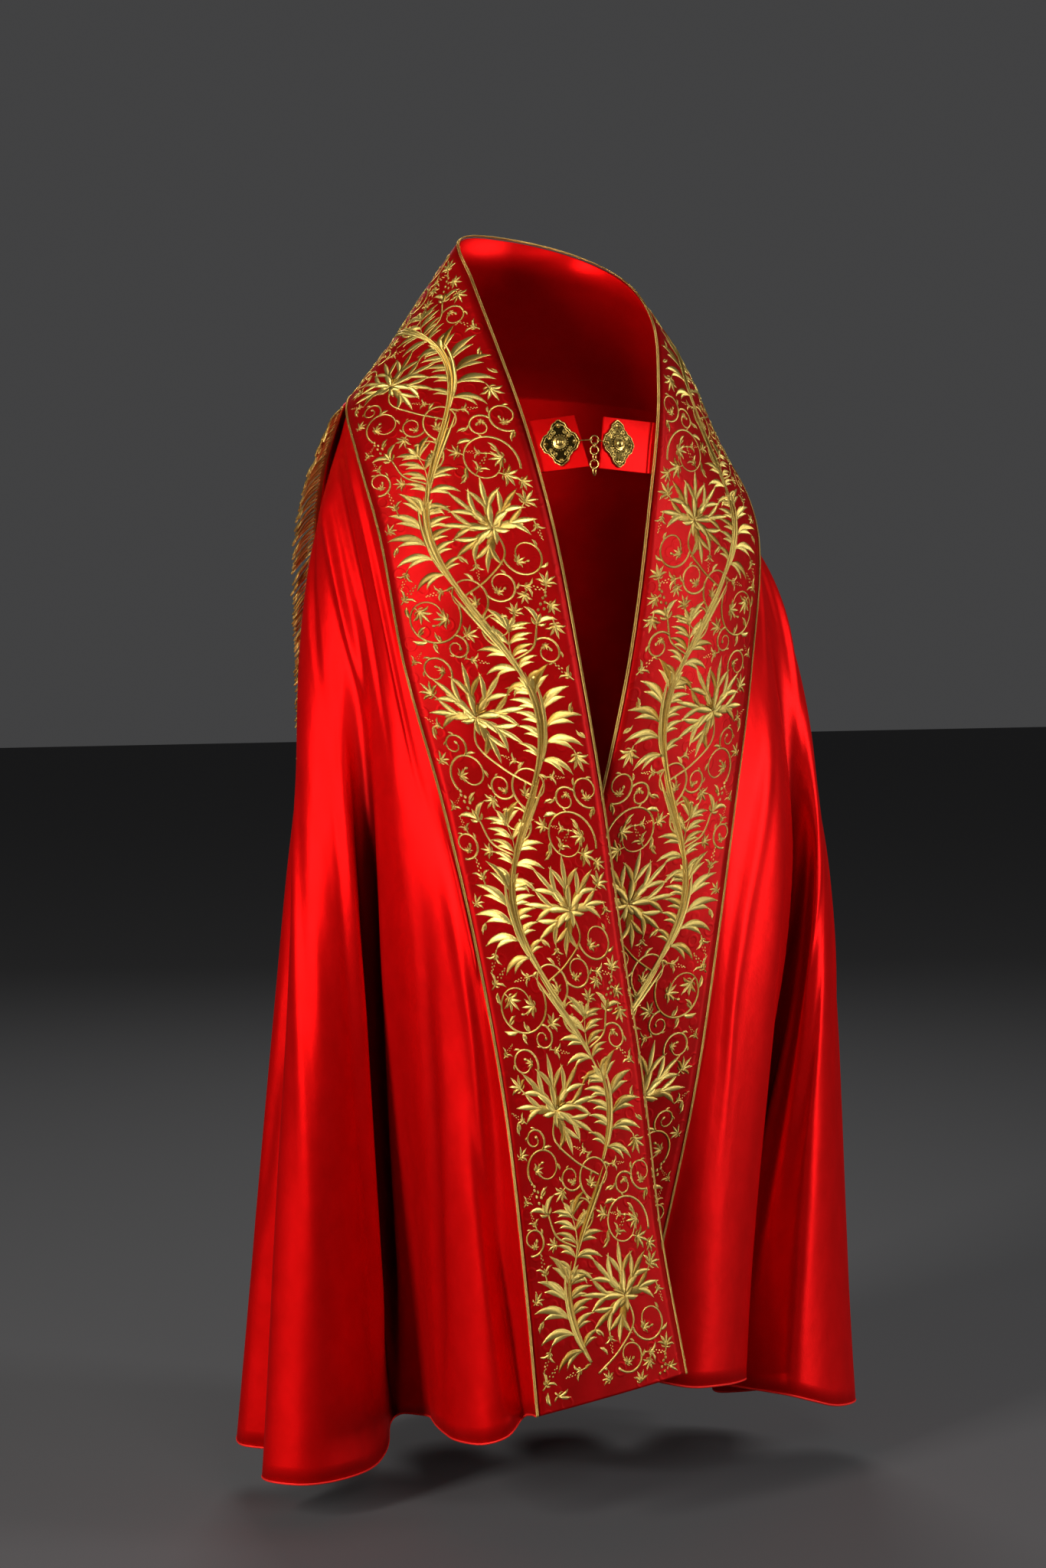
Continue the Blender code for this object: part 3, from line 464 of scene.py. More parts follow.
# %% Gather, sweep and finish
class Parts:
    """Points, faces and each point's chalk marks, shade, and darkening (rims on strokes, painted shade on the mantle's
    fold floors), gathered for one piece.
    """

    def __init__(self):
        self.points, self.faces, self.marks, self.shades, self.rims, self.count = [], [], [], [], [], 0

    def add(self, points, faces, ends=(), marks=None, shade=0.5, rim=0.0):
        """Adds points with their four-sided faces, and the faces of any number of sides that close the ends."""
        points = np.asarray(points, float).reshape(-1, 3)
        self.points.append(points)
        self.faces += (np.asarray(faces) + self.count).tolist()
        self.faces += [(np.asarray(end) + self.count).tolist() for end in ends]
        self.marks.append(np.zeros((len(points), 2)) if marks is None else np.asarray(marks).reshape(-1, 2))
        self.shades.append(np.broadcast_to(shade, len(points)))
        self.rims.append(np.broadcast_to(rim, len(points)))
        self.count += len(points)

    def finish(self, name, look, slot_name, body="cope", matrix=None):
        mesh = bpy.data.meshes.new(name)
        mesh.from_pydata(np.concatenate(self.points).tolist(), [], self.faces)
        mesh.polygons.foreach_set("use_smooth", np.ones(len(mesh.polygons), bool))
        corner = np.empty(len(mesh.loops), np.int32)
        mesh.loops.foreach_get("vertex_index", corner)
        layer = mesh.uv_layers.new(name="cut")
        layer.data.foreach_set("uv", np.concatenate(self.marks)[corner].astype(np.float32).ravel())
        for key, numbers in (("shade", self.shades), ("rim", self.rims)):
            values = np.concatenate(numbers).astype(np.float32)
            mesh.attributes.new(key, "FLOAT", "POINT").data.foreach_set("value", values)
        if matrix is not None:
            mesh.transform(matrix)
        mesh.materials.append(look)
        obj = bpy.data.objects.new(name, mesh)
        bpy.context.scene.collection.objects.link(obj)
        return settle(obj, body)


def settle(obj, body="cope"):
    """Gives a piece the body it rides on."""
    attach(obj, body)
    return obj


def sweep(parts, path, radius, sides, closed=False, shade=0.5):
    """A round wire along a path, with flat ends unless it is closed."""
    path = np.asarray(path, float)
    if closed:
        ahead = unit(np.roll(path, -1, axis=0) - np.roll(path, 1, axis=0))
    else:
        ahead = unit(np.gradient(path, axis=0))
    up = np.eye(3)[np.argmin(np.abs(ahead[0]))]
    ups = np.empty_like(path)
    for i, a in enumerate(ahead):
        up = up - a * up.dot(a)
        up /= np.linalg.norm(up)
        ups[i] = up
    turn = np.linspace(0, 2 * math.pi, sides, endpoint=False)
    half = np.broadcast_to(radius, len(path))[:, None, None]
    ring = ups[:, None] * np.cos(turn)[:, None] + np.cross(ahead, ups)[:, None] * np.sin(turn)[:, None]
    index = point_numbers(ring, closed=True)
    if closed:
        index = np.concatenate([index, index[:1]], axis=0)
    ends = () if closed else (index[0, -2::-1], index[-1, :-1])
    marks = np.stack(np.broadcast_arrays(lengths_along(path)[:, None], turn / (2 * math.pi)), axis=-1)
    parts.add(path[:, None] + ring * half, quads(index)[:, ::-1], ends, marks, shade)


def select_only(obj=None):
    """Leaves only this object selected, or none."""
    bpy.ops.object.select_all(action="DESELECT")
    if obj:
        obj.select_set(True)
        bpy.context.view_layer.objects.active = obj


def apply_modifier(obj, kind, **settings):
    """Adds a modifier and applies it."""
    select_only(obj)
    modifier = obj.modifiers.new("step", kind)
    for key, value in settings.items():
        setattr(modifier, key, value)
    bpy.ops.object.modifier_apply(modifier="step")


# %% [markdown]
# Three looks need more than one plain colour. Satin shows its weave up close and a little unevenness from afar,
# and the floors of its deep folds are painted dark as shade. Gold thread is painted pale where its stitches would
# catch the light and bronze where they turn away, with a dark line at each edge. Antique metal is bright where it is
# rubbed and tarnished in patches; the dark in its hollows is painted shade on the plate behind. Each is a small group
# that several looks share.

# %% Node groups for weave, thread and metal
SOCKETS = {"Colour": "NodeSocketColor", "Normal": "NodeSocketVector", "Roughness": "NodeSocketFloat"}
# FOLD_SHADE is the colour of the painted shade on the satin's deep fold floors.
FOLD_SHADE, STITCH_SHADE, EDGE_SHADE = (0.05, 0.0002, 0.0006, 1), (0.10, 0.035, 0.01, 1), (0.055, 0.012, 0.004, 1)


def new_group(name, colours, outputs, **numbers):
    """An empty shader group with two colours and perhaps a number to set, its outputs, and its two ends."""
    group = bpy.data.node_groups.new(name, "ShaderNodeTree")
    for key in colours:
        group.interface.new_socket(key, in_out="INPUT", socket_type="NodeSocketColor")
    for key, value in numbers.items():
        group.interface.new_socket(key, in_out="INPUT", socket_type="NodeSocketFloat").default_value = value
    for key in outputs:
        group.interface.new_socket(key, in_out="OUTPUT", socket_type=SOCKETS[key])
    return group, group.nodes.new("NodeGroupInput"), group.nodes.new("NodeGroupOutput")


def put_out(group, end, **sockets):
    """Joins the group's own results to its outputs."""
    for key, socket in sockets.items():
        group.links.new(socket, end.inputs[key])
    return group


def add_node(tree, kind, inputs=None, **settings):
    """A node with its settings. Each input is a plain value or the socket that feeds it."""
    node = tree.nodes.new(kind)
    for key, value in settings.items():
        setattr(node, key, value)
    for key, value in (inputs or {}).items():
        if isinstance(value, bpy.types.NodeSocket):
            tree.links.new(value, node.inputs[key])
        else:
            node.inputs[key].default_value = value
    return node


def blend_colours(tree, factor, a, b):
    """A mix of two colours by a factor."""
    return add_node(tree, "ShaderNodeMix", {0: factor, 6: a, 7: b}, data_type="RGBA").outputs[2]


def remap(tree, value, low, high, to_low=0.0, to_high=1.0):
    """A value read between two limits and put out between two others."""
    inputs = {"Value": value, 1: low, 2: high, 3: to_low, 4: to_high}
    return add_node(tree, "ShaderNodeMapRange", inputs, interpolation_type="SMOOTHSTEP").outputs[0]


def maths(tree, how, a, b=0.0):
    return add_node(tree, "ShaderNodeMath", {0: a, 1: b}, operation=how).outputs[0]


def wave(tree, vector, scale):
    inputs = {"Vector": vector, "Scale": scale, "Distortion": 0.6, "Detail": 1.0}
    return add_node(tree, "ShaderNodeTexWave", inputs).outputs["Fac"]


def noise(tree, vector, scale, detail):
    return add_node(tree, "ShaderNodeTexNoise", {"Vector": vector, "Scale": scale, "Detail": detail}).outputs["Fac"]


def bump(tree, height, distance, strength, normal=None):
    inputs = {"Height": height, "Distance": distance, "Strength": strength}
    if normal is not None:
        inputs["Normal"] = normal
    return add_node(tree, "ShaderNodeBump", inputs).outputs[0]


def attribute(tree, name):
    return add_node(tree, "ShaderNodeAttribute", attribute_name=name).outputs["Fac"]


def chalk_marks(tree, slant):
    """The marks on the flat cut, and the same ones turned so that threads run at a slant."""
    marks = add_node(tree, "ShaderNodeUVMap", uv_map="cut").outputs[0]
    return marks, add_node(tree, "ShaderNodeMapping", {0: marks, "Rotation": (0, 0, slant)}).outputs[0]


def make_weave_group():
    """Satin: fine slanted threads on the flat cut, soft unevenness, curls, and painted shade on the fold floors."""
    group, start, end = new_group("satin weave", ("Lit", "Deep"), ("Colour", "Normal"), Curls=0.0)
    marks, slanted = chalk_marks(group, 0.5)
    threads = wave(group, slanted, 320.0)
    uneven = noise(group, marks, 26.0, 4.0)
    cells = add_node(group, "ShaderNodeTexVoronoi", {"Vector": marks, "Scale": 46.0, "Randomness": 0.7}).outputs[0]
    ring = maths(group, "ABSOLUTE", maths(group, "SUBTRACT", cells, 0.34))
    curls = maths(group, "MULTIPLY", remap(group, ring, 0.02, 0.10, 1.0, 0.0), start.outputs["Curls"])
    shade = maths(group, "ADD", remap(group, uneven, 0.25, 0.75), curls)
    colour = blend_colours(group, shade, start.outputs["Deep"], start.outputs["Lit"])
    # Painted shade: the fold floors are darkened towards FOLD_SHADE by the mantle's mask.
    painted_fold_shade = maths(group, "MULTIPLY", attribute(group, "rim"), 0.92)
    raised = bump(group, curls, 0.0009, 0.8, bump(group, uneven, 0.002, 0.3))
    return put_out(group, end, Colour=blend_colours(group, painted_fold_shade, colour, FOLD_SHADE),
                   Normal=bump(group, threads, 0.00012, 0.35, raised))


def make_thread_group():
    """Gold thread: stitches across the stroke, pale or bronze by the stroke's shade, which holds painted highlight and
    painted shade, with dark edges.
    """
    group, start, end = new_group("gold thread", ("Pale", "Bronze"), ("Colour", "Normal"), Pitch=420.0)
    marks, slanted = chalk_marks(group, 0.35)
    stitches = wave(group, slanted, start.outputs["Pitch"])
    worn = maths(group, "MULTIPLY", maths(group, "SUBTRACT", noise(group, marks, 900.0, 2.0), 0.5), 0.55)
    level = maths(group, "ADD", attribute(group, "shade"), worn)
    colour = blend_colours(group, remap(group, level, 0.0, 1.0), start.outputs["Bronze"], start.outputs["Pale"])
    between = blend_colours(group, maths(group, "MULTIPLY", stitches, 0.42), colour, STITCH_SHADE)
    edge = maths(group, "MULTIPLY", remap(group, attribute(group, "rim"), 0.55, 1.0), 0.85)
    return put_out(group, end, Colour=blend_colours(group, edge, between, EDGE_SHADE),
                   Normal=bump(group, stitches, 0.0003, 0.6))


def make_metal_group():
    """Antique metal: rubbed bright with tarnish in patches."""
    group, start, end = new_group("antique metal", ("Bright", "Tarnish"), ("Colour", "Roughness", "Normal"))
    patches = noise(group, add_node(group, "ShaderNodeTexCoord").outputs["Object"], 420.0, 4.0)
    tarnished = maths(group, "MULTIPLY", remap(group, patches, 0.42, 0.66), 0.85)
    return put_out(group, end,
                   Colour=blend_colours(group, tarnished, start.outputs["Bright"], start.outputs["Tarnish"]),
                   Roughness=remap(group, patches, 0.3, 0.7, 0.24, 0.46), Normal=bump(group, patches, 0.0002, 0.4))


WEAVE, THREAD, METAL = make_weave_group(), make_thread_group(), make_metal_group()

# %% [markdown]
# The looks themselves: bright satin for the mantle, hood and tabs, a deeper one with curls of its own colour for the
# bands, gold thread for embroidery, cords and fringe, and metal for the clasp.

# %% Looks
RED_TINT, GOLD_TINT = (1.0, 0.10, 0.08, 1), (1.0, 0.80, 0.40, 1)


def new_look(name, group, bright, deep, metallic, roughness, tint, **others):
    """A look that takes its colour and normal from a group, and the rest as plain numbers."""
    look = bpy.data.materials.new(name)
    look.use_nodes = True
    tree = look.node_tree
    shader = tree.nodes["Principled BSDF"]
    effect = add_node(tree, "ShaderNodeGroup", {0: (*bright, 1), 1: (*deep, 1), **others}, node_tree=group)
    for key, value in (("Metallic", metallic), ("Roughness", roughness), ("Specular Tint", tint)):
        shader.inputs[key].default_value = value
    for key, target in (("Colour", "Base Color"), ("Normal", "Normal"), ("Roughness", "Roughness")):
        if key in effect.outputs:
            tree.links.new(effect.outputs[key], shader.inputs[target])
    return look


SATIN = new_look("satin", WEAVE, (0.68, 0.0025, 0.003), (0.60, 0.002, 0.002), 0.66, 0.43, RED_TINT)
# A brighter copy of the satin for the rolled hem: a painted highlight along its edge.
LIT_HEM_SATIN = new_look("lit_hem_satin", WEAVE, (0.86, 0.03, 0.02), (0.74, 0.02, 0.02), 0.45, 0.5, RED_TINT)
BAND_SATIN = new_look(
    "band_satin", WEAVE, (0.35, 0.001, 0.002), (0.26, 0.0008, 0.001), 0.5, 0.48, RED_TINT, Curls=0.3)
GOLD_THREAD = new_look("gold_thread", THREAD, (1.0, 0.77, 0.22), (0.34, 0.17, 0.018), 0.90, 0.32, GOLD_TINT)
GOLD_CORD = new_look("gold_cord", THREAD, (0.90, 0.60, 0.17), (0.38, 0.19, 0.03), 0.88, 0.36, GOLD_TINT, Pitch=150.0)
ANTIQUE_GOLD = new_look("antique_gold", METAL, (0.66, 0.46, 0.13), (0.09, 0.05, 0.01), 1.0, 0.3, GOLD_TINT)
# Near-black metal for the plate behind the openwork: painted shade in the clasp's hollows.
PAINTED_SHADE_GOLD = new_look("painted_shade_gold", METAL, (0.03, 0.02, 0.005), (0.012, 0.008, 0.002), 1.0, 0.6, GOLD_TINT)

# %% [markdown]
# The mantle is one skin: the cloth outside the bands and, under the bands, the strip that backs them. Both share the
# points of the bands' outer edge, so there is no seam in the skin. It is then given its thickness inwards.

# %% The satin mantle and its rolled hem
MANTLE_WALL, BACKING_STEPS, BACKING_INSET = 0.0018, 5, 0.002
HEM_ROLL, HEM_ROLL_SHARE, HEM_ROLL_SIDES = 0.0016, 0.6, 8


def make_mantle():
    """The folded cloth, the strip of it that backs the bands, and its wall."""
    index = point_numbers(fine)
    border = np.concatenate([index[0, ::-1], index[1:, 0], index[-1, 1:]])
    border_s = cut.reshape(-1, 2)[border, 0]
    across = np.linspace(BACKING_INSET, BAND_WIDTH, BACKING_STEPS + 1)[:-1]
    backing = band_points(border_s[:, None], across)
    own = index.size + point_numbers(backing)
    faces = np.concatenate([quads(index), quads(np.concatenate([own, border[:, None]], axis=1))])
    marks = np.stack(np.broadcast_arrays(border_s[:, None], across), axis=-1)
    parts = Parts()
    # The mask of painted fold shade rides on the mantle's points; the backing strip gets none.
    parts.add(np.concatenate([fine.reshape(-1, 3), backing.reshape(-1, 3)]), faces,
              marks=np.concatenate([cut.reshape(-1, 2), marks.reshape(-1, 2)]),
              rim=np.concatenate([fold_shade_mask.ravel(), np.zeros(backing.size // 3)]))
    mantle = parts.finish("satin_mantle", SATIN, "satin")
    apply_modifier(mantle, "SOLIDIFY", thickness=MANTLE_WALL, offset=-1.0)
    return mantle


def make_hem_roll():
    """The hem's edge, rolled under and pressed, from band to band, in a brighter satin that paints a highlight along
    it.
    """
    parts = Parts()
    inward = unit(fine[:, -1] - fine[:, -2])
    line = fine[:, -1] - inward * HEM_ROLL * HEM_ROLL_SHARE - grid_normals(fine)[:, -1] * MANTLE_WALL / 2
    sweep(parts, line, HEM_ROLL, HEM_ROLL_SIDES)
    return parts.finish("hem_roll", LIT_HEM_SATIN, "satin")


satin_mantle = make_mantle()
hem_roll = make_hem_roll()
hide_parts("mantle")
print("mantle points:", len(satin_mantle.data.vertices))

# %% [markdown]
# The bands lie on the mantle's straight edge and meet behind the neck. Each is a strip of deeper satin, just thick
# enough to hide the stitches' ends.

# %% The bands
BAND_TOP, BAND_BOTTOM, BAND_INSET, BAND_START = 0.0019, 0.0006, 0.0035, 0.0008
BAND_LENGTH, BAND_COLUMNS, BAND_ROWS = EDGE_END + 0.0004, 520, 23


def make_band(name, side):
    """One band, from its hem to behind the neck, on the right (side 1) or the left (side -1)."""
    ends = (BAND_LENGTH, BAND_START) if side > 0 else (-BAND_START, -BAND_LENGTH)
    across = np.linspace(BAND_INSET, BAND_WIDTH - BAND_INSET, BAND_ROWS)
    s, t = np.meshgrid(np.linspace(*ends, BAND_COLUMNS), across, indexing="ij")
    marks = np.stack([s, t], axis=-1)
    parts = Parts()
    parts.add(band_surface(s, t, BAND_TOP), quads(point_numbers(marks)), marks=marks)
    band = parts.finish(name, BAND_SATIN, "band_satin")
    apply_modifier(band, "SOLIDIFY", thickness=BAND_TOP - BAND_BOTTOM, offset=-1.0)
    return band


band_right, band_left = make_band("band_right", 1), make_band("band_left", -1)
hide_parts("orphrey_right")
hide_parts("orphrey_left")

# %% [markdown]
# Real gold work of this kind is satin stitch: short threads laid side by side across each leaf over a little padding.
# One stroke is the brush here. It follows a line of chalk marks, swells and tapers, and is domed in the middle.
# Every leaf, petal, stem, spiral and bead is such a stroke, so their edges, threads and gleam all agree.

# %% One stroke of satin stitch
STITCH_STEP = 0.0042
LEAF_SWELL = (0.16, 0.62, 1.0, 0.98, 0.66, 0.06)
FLAME_SWELL = (0.30, 0.55, 0.95, 1.0, 0.60, 0.06)
BEAD_SWELL = (0.40, 0.92, 1.0, 0.92, 0.40)
LOW, MIDDLE, HIGH = 0.0012, 0.0013, 0.0014
strokes = []


def lay(path, swell, height, shade, most=56):
    """A stroke through chalk marks. Its half-width follows swell, and shade says how pale its thread is painted,
    standing in for how much light the stroke catches.
    """
    path = np.asarray(path, float)
    at = lengths_along(path)
    count = int(np.clip(at[-1] / STITCH_STEP, 4, most))
    u = np.linspace(0, 1, count)
    line = spline(at, path, u * at[-1])
    half = np.interp(u, np.linspace(0, 1, len(swell)), swell)
    ahead = unit(np.gradient(line, axis=0))
    strokes.append((line, np.stack([-ahead[:, 1], ahead[:, 0]], axis=1), half, height, shade, u * at[-1]))


def bent(root, heading, length, bend, count=7):
    """Marks of a line that leaves its root at a heading and turns evenly as it goes."""
    angles = heading + bend * np.linspace(0, 1, count - 1)
    steps = rays(angles) * length / (count - 1)
    return np.concatenate([[root], root + np.cumsum(steps, axis=0)])


def leaf(root, heading, length, width, bend, shade, height=LOW, swell=LEAF_SWELL):
    lay(bent(root, heading, length, bend), width * np.array(swell), height, shade)


def flame(root, heading, length, width, bend, shade, height=HIGH):
    leaf(root, heading, length, width, bend, shade, height, FLAME_SWELL)


def bead(centre, heading, radius):
    ends = [centre - ray(heading) * radius, centre, centre + ray(heading) * radius]
    lay(ends, radius * np.array(BEAD_SWELL), radius * 0.75, 0.80)


# %% [markdown]
# The motifs are the common ones of any church scroll: feathered acanthus leaves, open flowers, palmettes, bells with
# beads, and tendrils. Each is a small function with a root, a heading, a size and a bend, which the even-sided ones
# leave unread, so no leaf is drawn twice.

# %% Acanthus, flowers, palmettes, bells and tendrils
ACANTHUS_PAIRS, RIB_MARKS, RIB_END = 5, 25, 22
PETALS, PETAL_SPREAD, BEADS = 7, 2.05, 7
TENDRIL_MARKS, TENDRIL_TURNS, TENDRIL_WIDTH, HEART_SIZE = 48, 1.3, 0.0014, 0.017


def lobe(root, heading, length, width, turn, shade):
    """One flame of a feathered leaf: three strokes side by side, the outer one palest, that turn out at their tips."""
    side = math.copysign(1.0, turn)
    for lean, reach, fat, level, height in (
            (0.16, 0.74, 0.8, 0.95, 0.0011), (-0.16, 0.82, 0.8, shade * 0.4, 0.0011), (0.0, 1.0, 1.0, shade, HIGH)):
        flame(root, heading + side * lean, length * reach, width * fat, turn, level, height)


def acanthus(root, heading, length, bend):
    """A feathered leaf: flames on both sides of a curved rib, longer on its outer side, and a tuft at its tip."""
    width = length * 0.42
    rib = bent(root, heading, length * 0.84, bend, RIB_MARKS)
    outer = -math.copysign(1.0, bend)
    for k in range(ACANTHUS_PAIRS):
        f = 0.04 + 0.84 * k / (ACANTHUS_PAIRS - 1)
        at, along = rib[int((RIB_MARKS - 1) * f)], heading + bend * f
        size = width * (0.62 + 0.50 * math.sin(math.pi * (0.20 + 0.62 * f)))
        for side in (-outer, outer):
            reach = size * (1.04 if side == outer else 0.84)
            lean = side * math.radians(52 - 20 * f)
            lobe(at, along + lean, reach, reach * 0.105, side * (1.15 - 0.5 * f), 0.35 + 0.4 * (k % 2))
    for x in (-0.55, 0.55, 0):
        lobe(rib[RIB_END], heading + bend * 0.95 + x, length * 0.22, width * 0.10, 0.4 * bend + x, 0.8)
    lay(rib[:RIB_END + 1], (0.0017, 0.0012, 0.0005), 0.0018, 0.75)


def flower(root, heading, size, _):
    """An open flower seen from its side: feathered outer petals, a cup of pale inner ones, a heart and sepals."""
    for k, x in enumerate(np.linspace(-1, 1, PETALS)):
        angle, long = heading + x * PETAL_SPREAD, size * (1.06 - 0.18 * x * x)
        foot = root + ray(angle) * size * 0.06
        leaf(foot, angle, long * 0.72, size * 0.120, 0.35 * x, 0.20, 0.0009)
        for side in (-1, 0, 1):
            start = foot + ray(angle) * long * (0.30 + 0.06 * (side == 0))
            bend = 0.55 * side + 0.25 * x
            shade = (0.95, 0.55)[(k + side) % 2]
            flame(start, angle + side * 0.34, long * (0.62 + 0.08 * (side == 0)), size * 0.072, bend, shade)
    for x in np.linspace(-1, 1, PETALS - 2):
        angle = heading + x * PETAL_SPREAD * 0.66
        leaf(root + ray(angle) * size * 0.03, angle, size * 0.54, size * 0.088, 0.45 * x, 0.95, 0.0020)
    for x in (-0.45, 0.0, 0.45):
        leaf(root + ray(heading) * size * 0.08, heading + x, size * 0.26, size * 0.045, 0.0, 0.05, 0.0023)
    for x in (-1.0, -0.4, 0.4, 1.0):
        flame(root, heading + math.pi + x, size * 0.36, size * 0.080, 1.4 * x, 0.75, 0.0016)


def palmette(root, heading, size, _):
    """A small fan of five lobes over two curled ones."""
    for x in (-1, 1, -0.5, 0.5, 0):
        flame(root, heading + 0.80 * x, size * (1 - 0.20 * abs(x)), size * 0.140, 1.0 * x, 0.95 - 0.5 * abs(x))
    for x in (-1, 1):
        leaf(root, heading + 2.1 * x, size * 0.45, size * 0.085, -1.3 * x, 0.45)


def bell(root, heading, size, _):
    """A bell flower: two flaring petals, and a string of beads that hangs from between them."""
    for x in (-1, 1):
        flame(root, heading + 0.30 * x, size * 0.62, size * 0.085, 1.25 * x, 0.90)
        leaf(root, heading + 1.4 * x, size * 0.26, size * 0.06, -0.9 * x, 0.4)
    leaf(root, heading, size * 0.34, size * 0.08, 0.0, 0.4, 0.0016)
    across = ray(heading + math.pi / 2)
    for k in range(BEADS):
        shift = 0.075 * (-1) ** k * (1 - k / BEADS)
        bead(root + (ray(heading) * (0.40 + 0.088 * k) + across * shift) * size, heading, size * 0.046)


def tendril(root, heading, radius, hand):
    """A tapering stem that curls in on itself and ends in a bulb, with a small palmette in it and two leaves on it."""
    shrink = radius * (1 - 0.74 * np.linspace(0, 1, TENDRIL_MARKS) ** 0.85)
    turn = hand * 2 * math.pi * TENDRIL_TURNS / TENDRIL_MARKS
    angles = heading + turn * np.arange(TENDRIL_MARKS)
    path = root + np.cumsum(rays(angles) * (abs(turn) * shrink)[:, None], axis=0)
    taper = TENDRIL_WIDTH * np.array([1.2, 1.25, 1.15, 1.0, 0.85, 0.7])
    lay(np.concatenate([[root], path]), taper, MIDDLE, 0.60, 40)
    bead(path[-1], angles[-1], TENDRIL_WIDTH * 1.6)
    if radius > HEART_SIZE:
        palmette(path[-14:].mean(axis=0) - ray(angles[-1]) * radius * 0.25, angles[-1], radius * 0.46, hand)
    for k, long, wide, shade in ((12, 0.5, 0.10, 0.8), (20, 0.4, 0.09, 0.5)):
        flame(path[k], angles[k] - 0.7 * hand, radius * long, radius * wide, 0.9 * hand, shade, MIDDLE)


# %% [markdown]
# The layout is this lesson's own: a trunk that swings from edge to edge once in every repeat, wrapped in long leaf
# sheaths, with a large flower in each hollow and feathered leaves along the swings. Marks are in metres, up the band
# and in from its inner edge. What is then left empty is filled by rule: the widest gap takes a tendril, a palmette or
# a bell that grows from the nearest stem, then the next widest, until no gap is wider than a stitch can leave plain.

# %% The scroll's layout
REPEAT = 0.46
SWING = 0.043
LAYOUT = (
    # motif, up the band, in from the inner edge, heading in degrees, size, bend or hand
    (acanthus, 0.060, 0.146, 34, 0.110, -1.10),
    (acanthus, 0.150, 0.150, -34, 0.092, 1.00),
    (acanthus, 0.290, 0.074, -34, 0.110, 1.10),
    (acanthus, 0.380, 0.070, 34, 0.092, -1.00),
    (flower, 0.112, 0.074, 40, 0.058, 0),
    (flower, 0.342, 0.146, -40, 0.058, 0),
    (tendril, 0.232, 0.106, 58, 0.030, -1),
    (tendril, 0.002, 0.114, -58, 0.030, 1),
    (tendril, 0.196, 0.128, -80, 0.024, 1),
    (tendril, 0.426, 0.092, 80, 0.024, -1),
    (bell, 0.222, 0.176, 24, 0.046, 0),
    (bell, 0.452, 0.044, -24, 0.046, 0),
)
BRANCHES = (
    # marks from the trunk to a flower: up, in
    ((0.030, 0.128), (0.052, 0.092), (0.082, 0.066), (0.112, 0.073)),
    ((0.260, 0.092), (0.282, 0.128), (0.312, 0.154), (0.342, 0.147)),
    ((0.180, 0.140), (0.196, 0.166), (0.222, 0.175)),
    ((0.410, 0.080), (0.426, 0.054), (0.452, 0.045)),
)
SHEATHS = (
    # from, to and side of the trunk
    (0.045, 0.165, 1),
    (0.275, 0.395, -1),
    (0.170, 0.270, -1),
    (0.400, 0.500, 1),
)
SMALLEST_GAP, TENDRIL_GAP, FAN_GAP = 0.0084, 0.0165, 0.0098
FILL_STEP, MOST_FILLS, EDGE_ROOM, BAND_MIDDLE = 0.0025, 60, 0.008, BAND_WIDTH / 2


def trunk(start, end, count):
    """Marks of the trunk between two places up the repeat."""
    return np.array([(up, BAND_MIDDLE + SWING * math.sin(2 * math.pi * up / REPEAT))
                     for up in np.linspace(start, end, count)])


def lay_trunk():
    """Three strokes side by side, and leaf sheaths that open away from them."""
    for shift, width, height, shade in (
            (0.0, 0.0030, MIDDLE, 0.2), (0.0021, 0.0015, 0.0017, 0.95), (-0.0021, 0.0015, 0.0017, 0.7)):
        lay(trunk(0, REPEAT, 33) + (0, shift), (width, width), height, shade, 80)
    for start, end, side in SHEATHS:
        for shift, width, shade in ((0.0030, 0.0042, 0.35), (0.0075, 0.0030, 0.95)):
            curve = trunk(start, end, 9) + (0, side * shift) * np.linspace(0.4, 1.7, 9)[:, None]
            lay(curve, width * np.array([0.4, 0.8, 1.0, 0.8, 0.1]), 0.0017, shade)


def grow(number, room, spot, foot, on_edge):
    """One filling: a tendril, a palmette or a bell on a stem, or a pair of leaves, as the gap's room allows."""
    toward = spot - foot
    if on_edge:
        toward = np.array([0.7, 0.7 * np.sign(spot[1] - BAND_MIDDLE + 1e-9) * -1])
        foot = spot - unit(toward) * room
    heading, hand, odd = math.atan2(toward[1], toward[0]), 1 if number % 2 else -1, number % 2
    if room > TENDRIL_GAP:
        tendril(foot, heading + hand * 0.9, room * 0.92, -hand)
    elif room > FAN_GAP:
        lay([foot, (foot + spot) / 2, spot - unit(toward) * room * 0.45], (0.0011, 0.0011), MIDDLE, 0.6)
        (palmette, bell)[odd](spot - unit(toward) * room * 0.6, heading, room * (1.45, 1.9)[odd], hand)
    else:
        for lean, long, wide, bend, shade in ((0.5, 1.7, 0.26, -0.9, 0.85), (-0.4, 1.1, 0.20, 0.7, 0.45)):
            flame(foot, heading + lean * hand, room * long, room * wide, bend * hand, shade, MIDDLE)


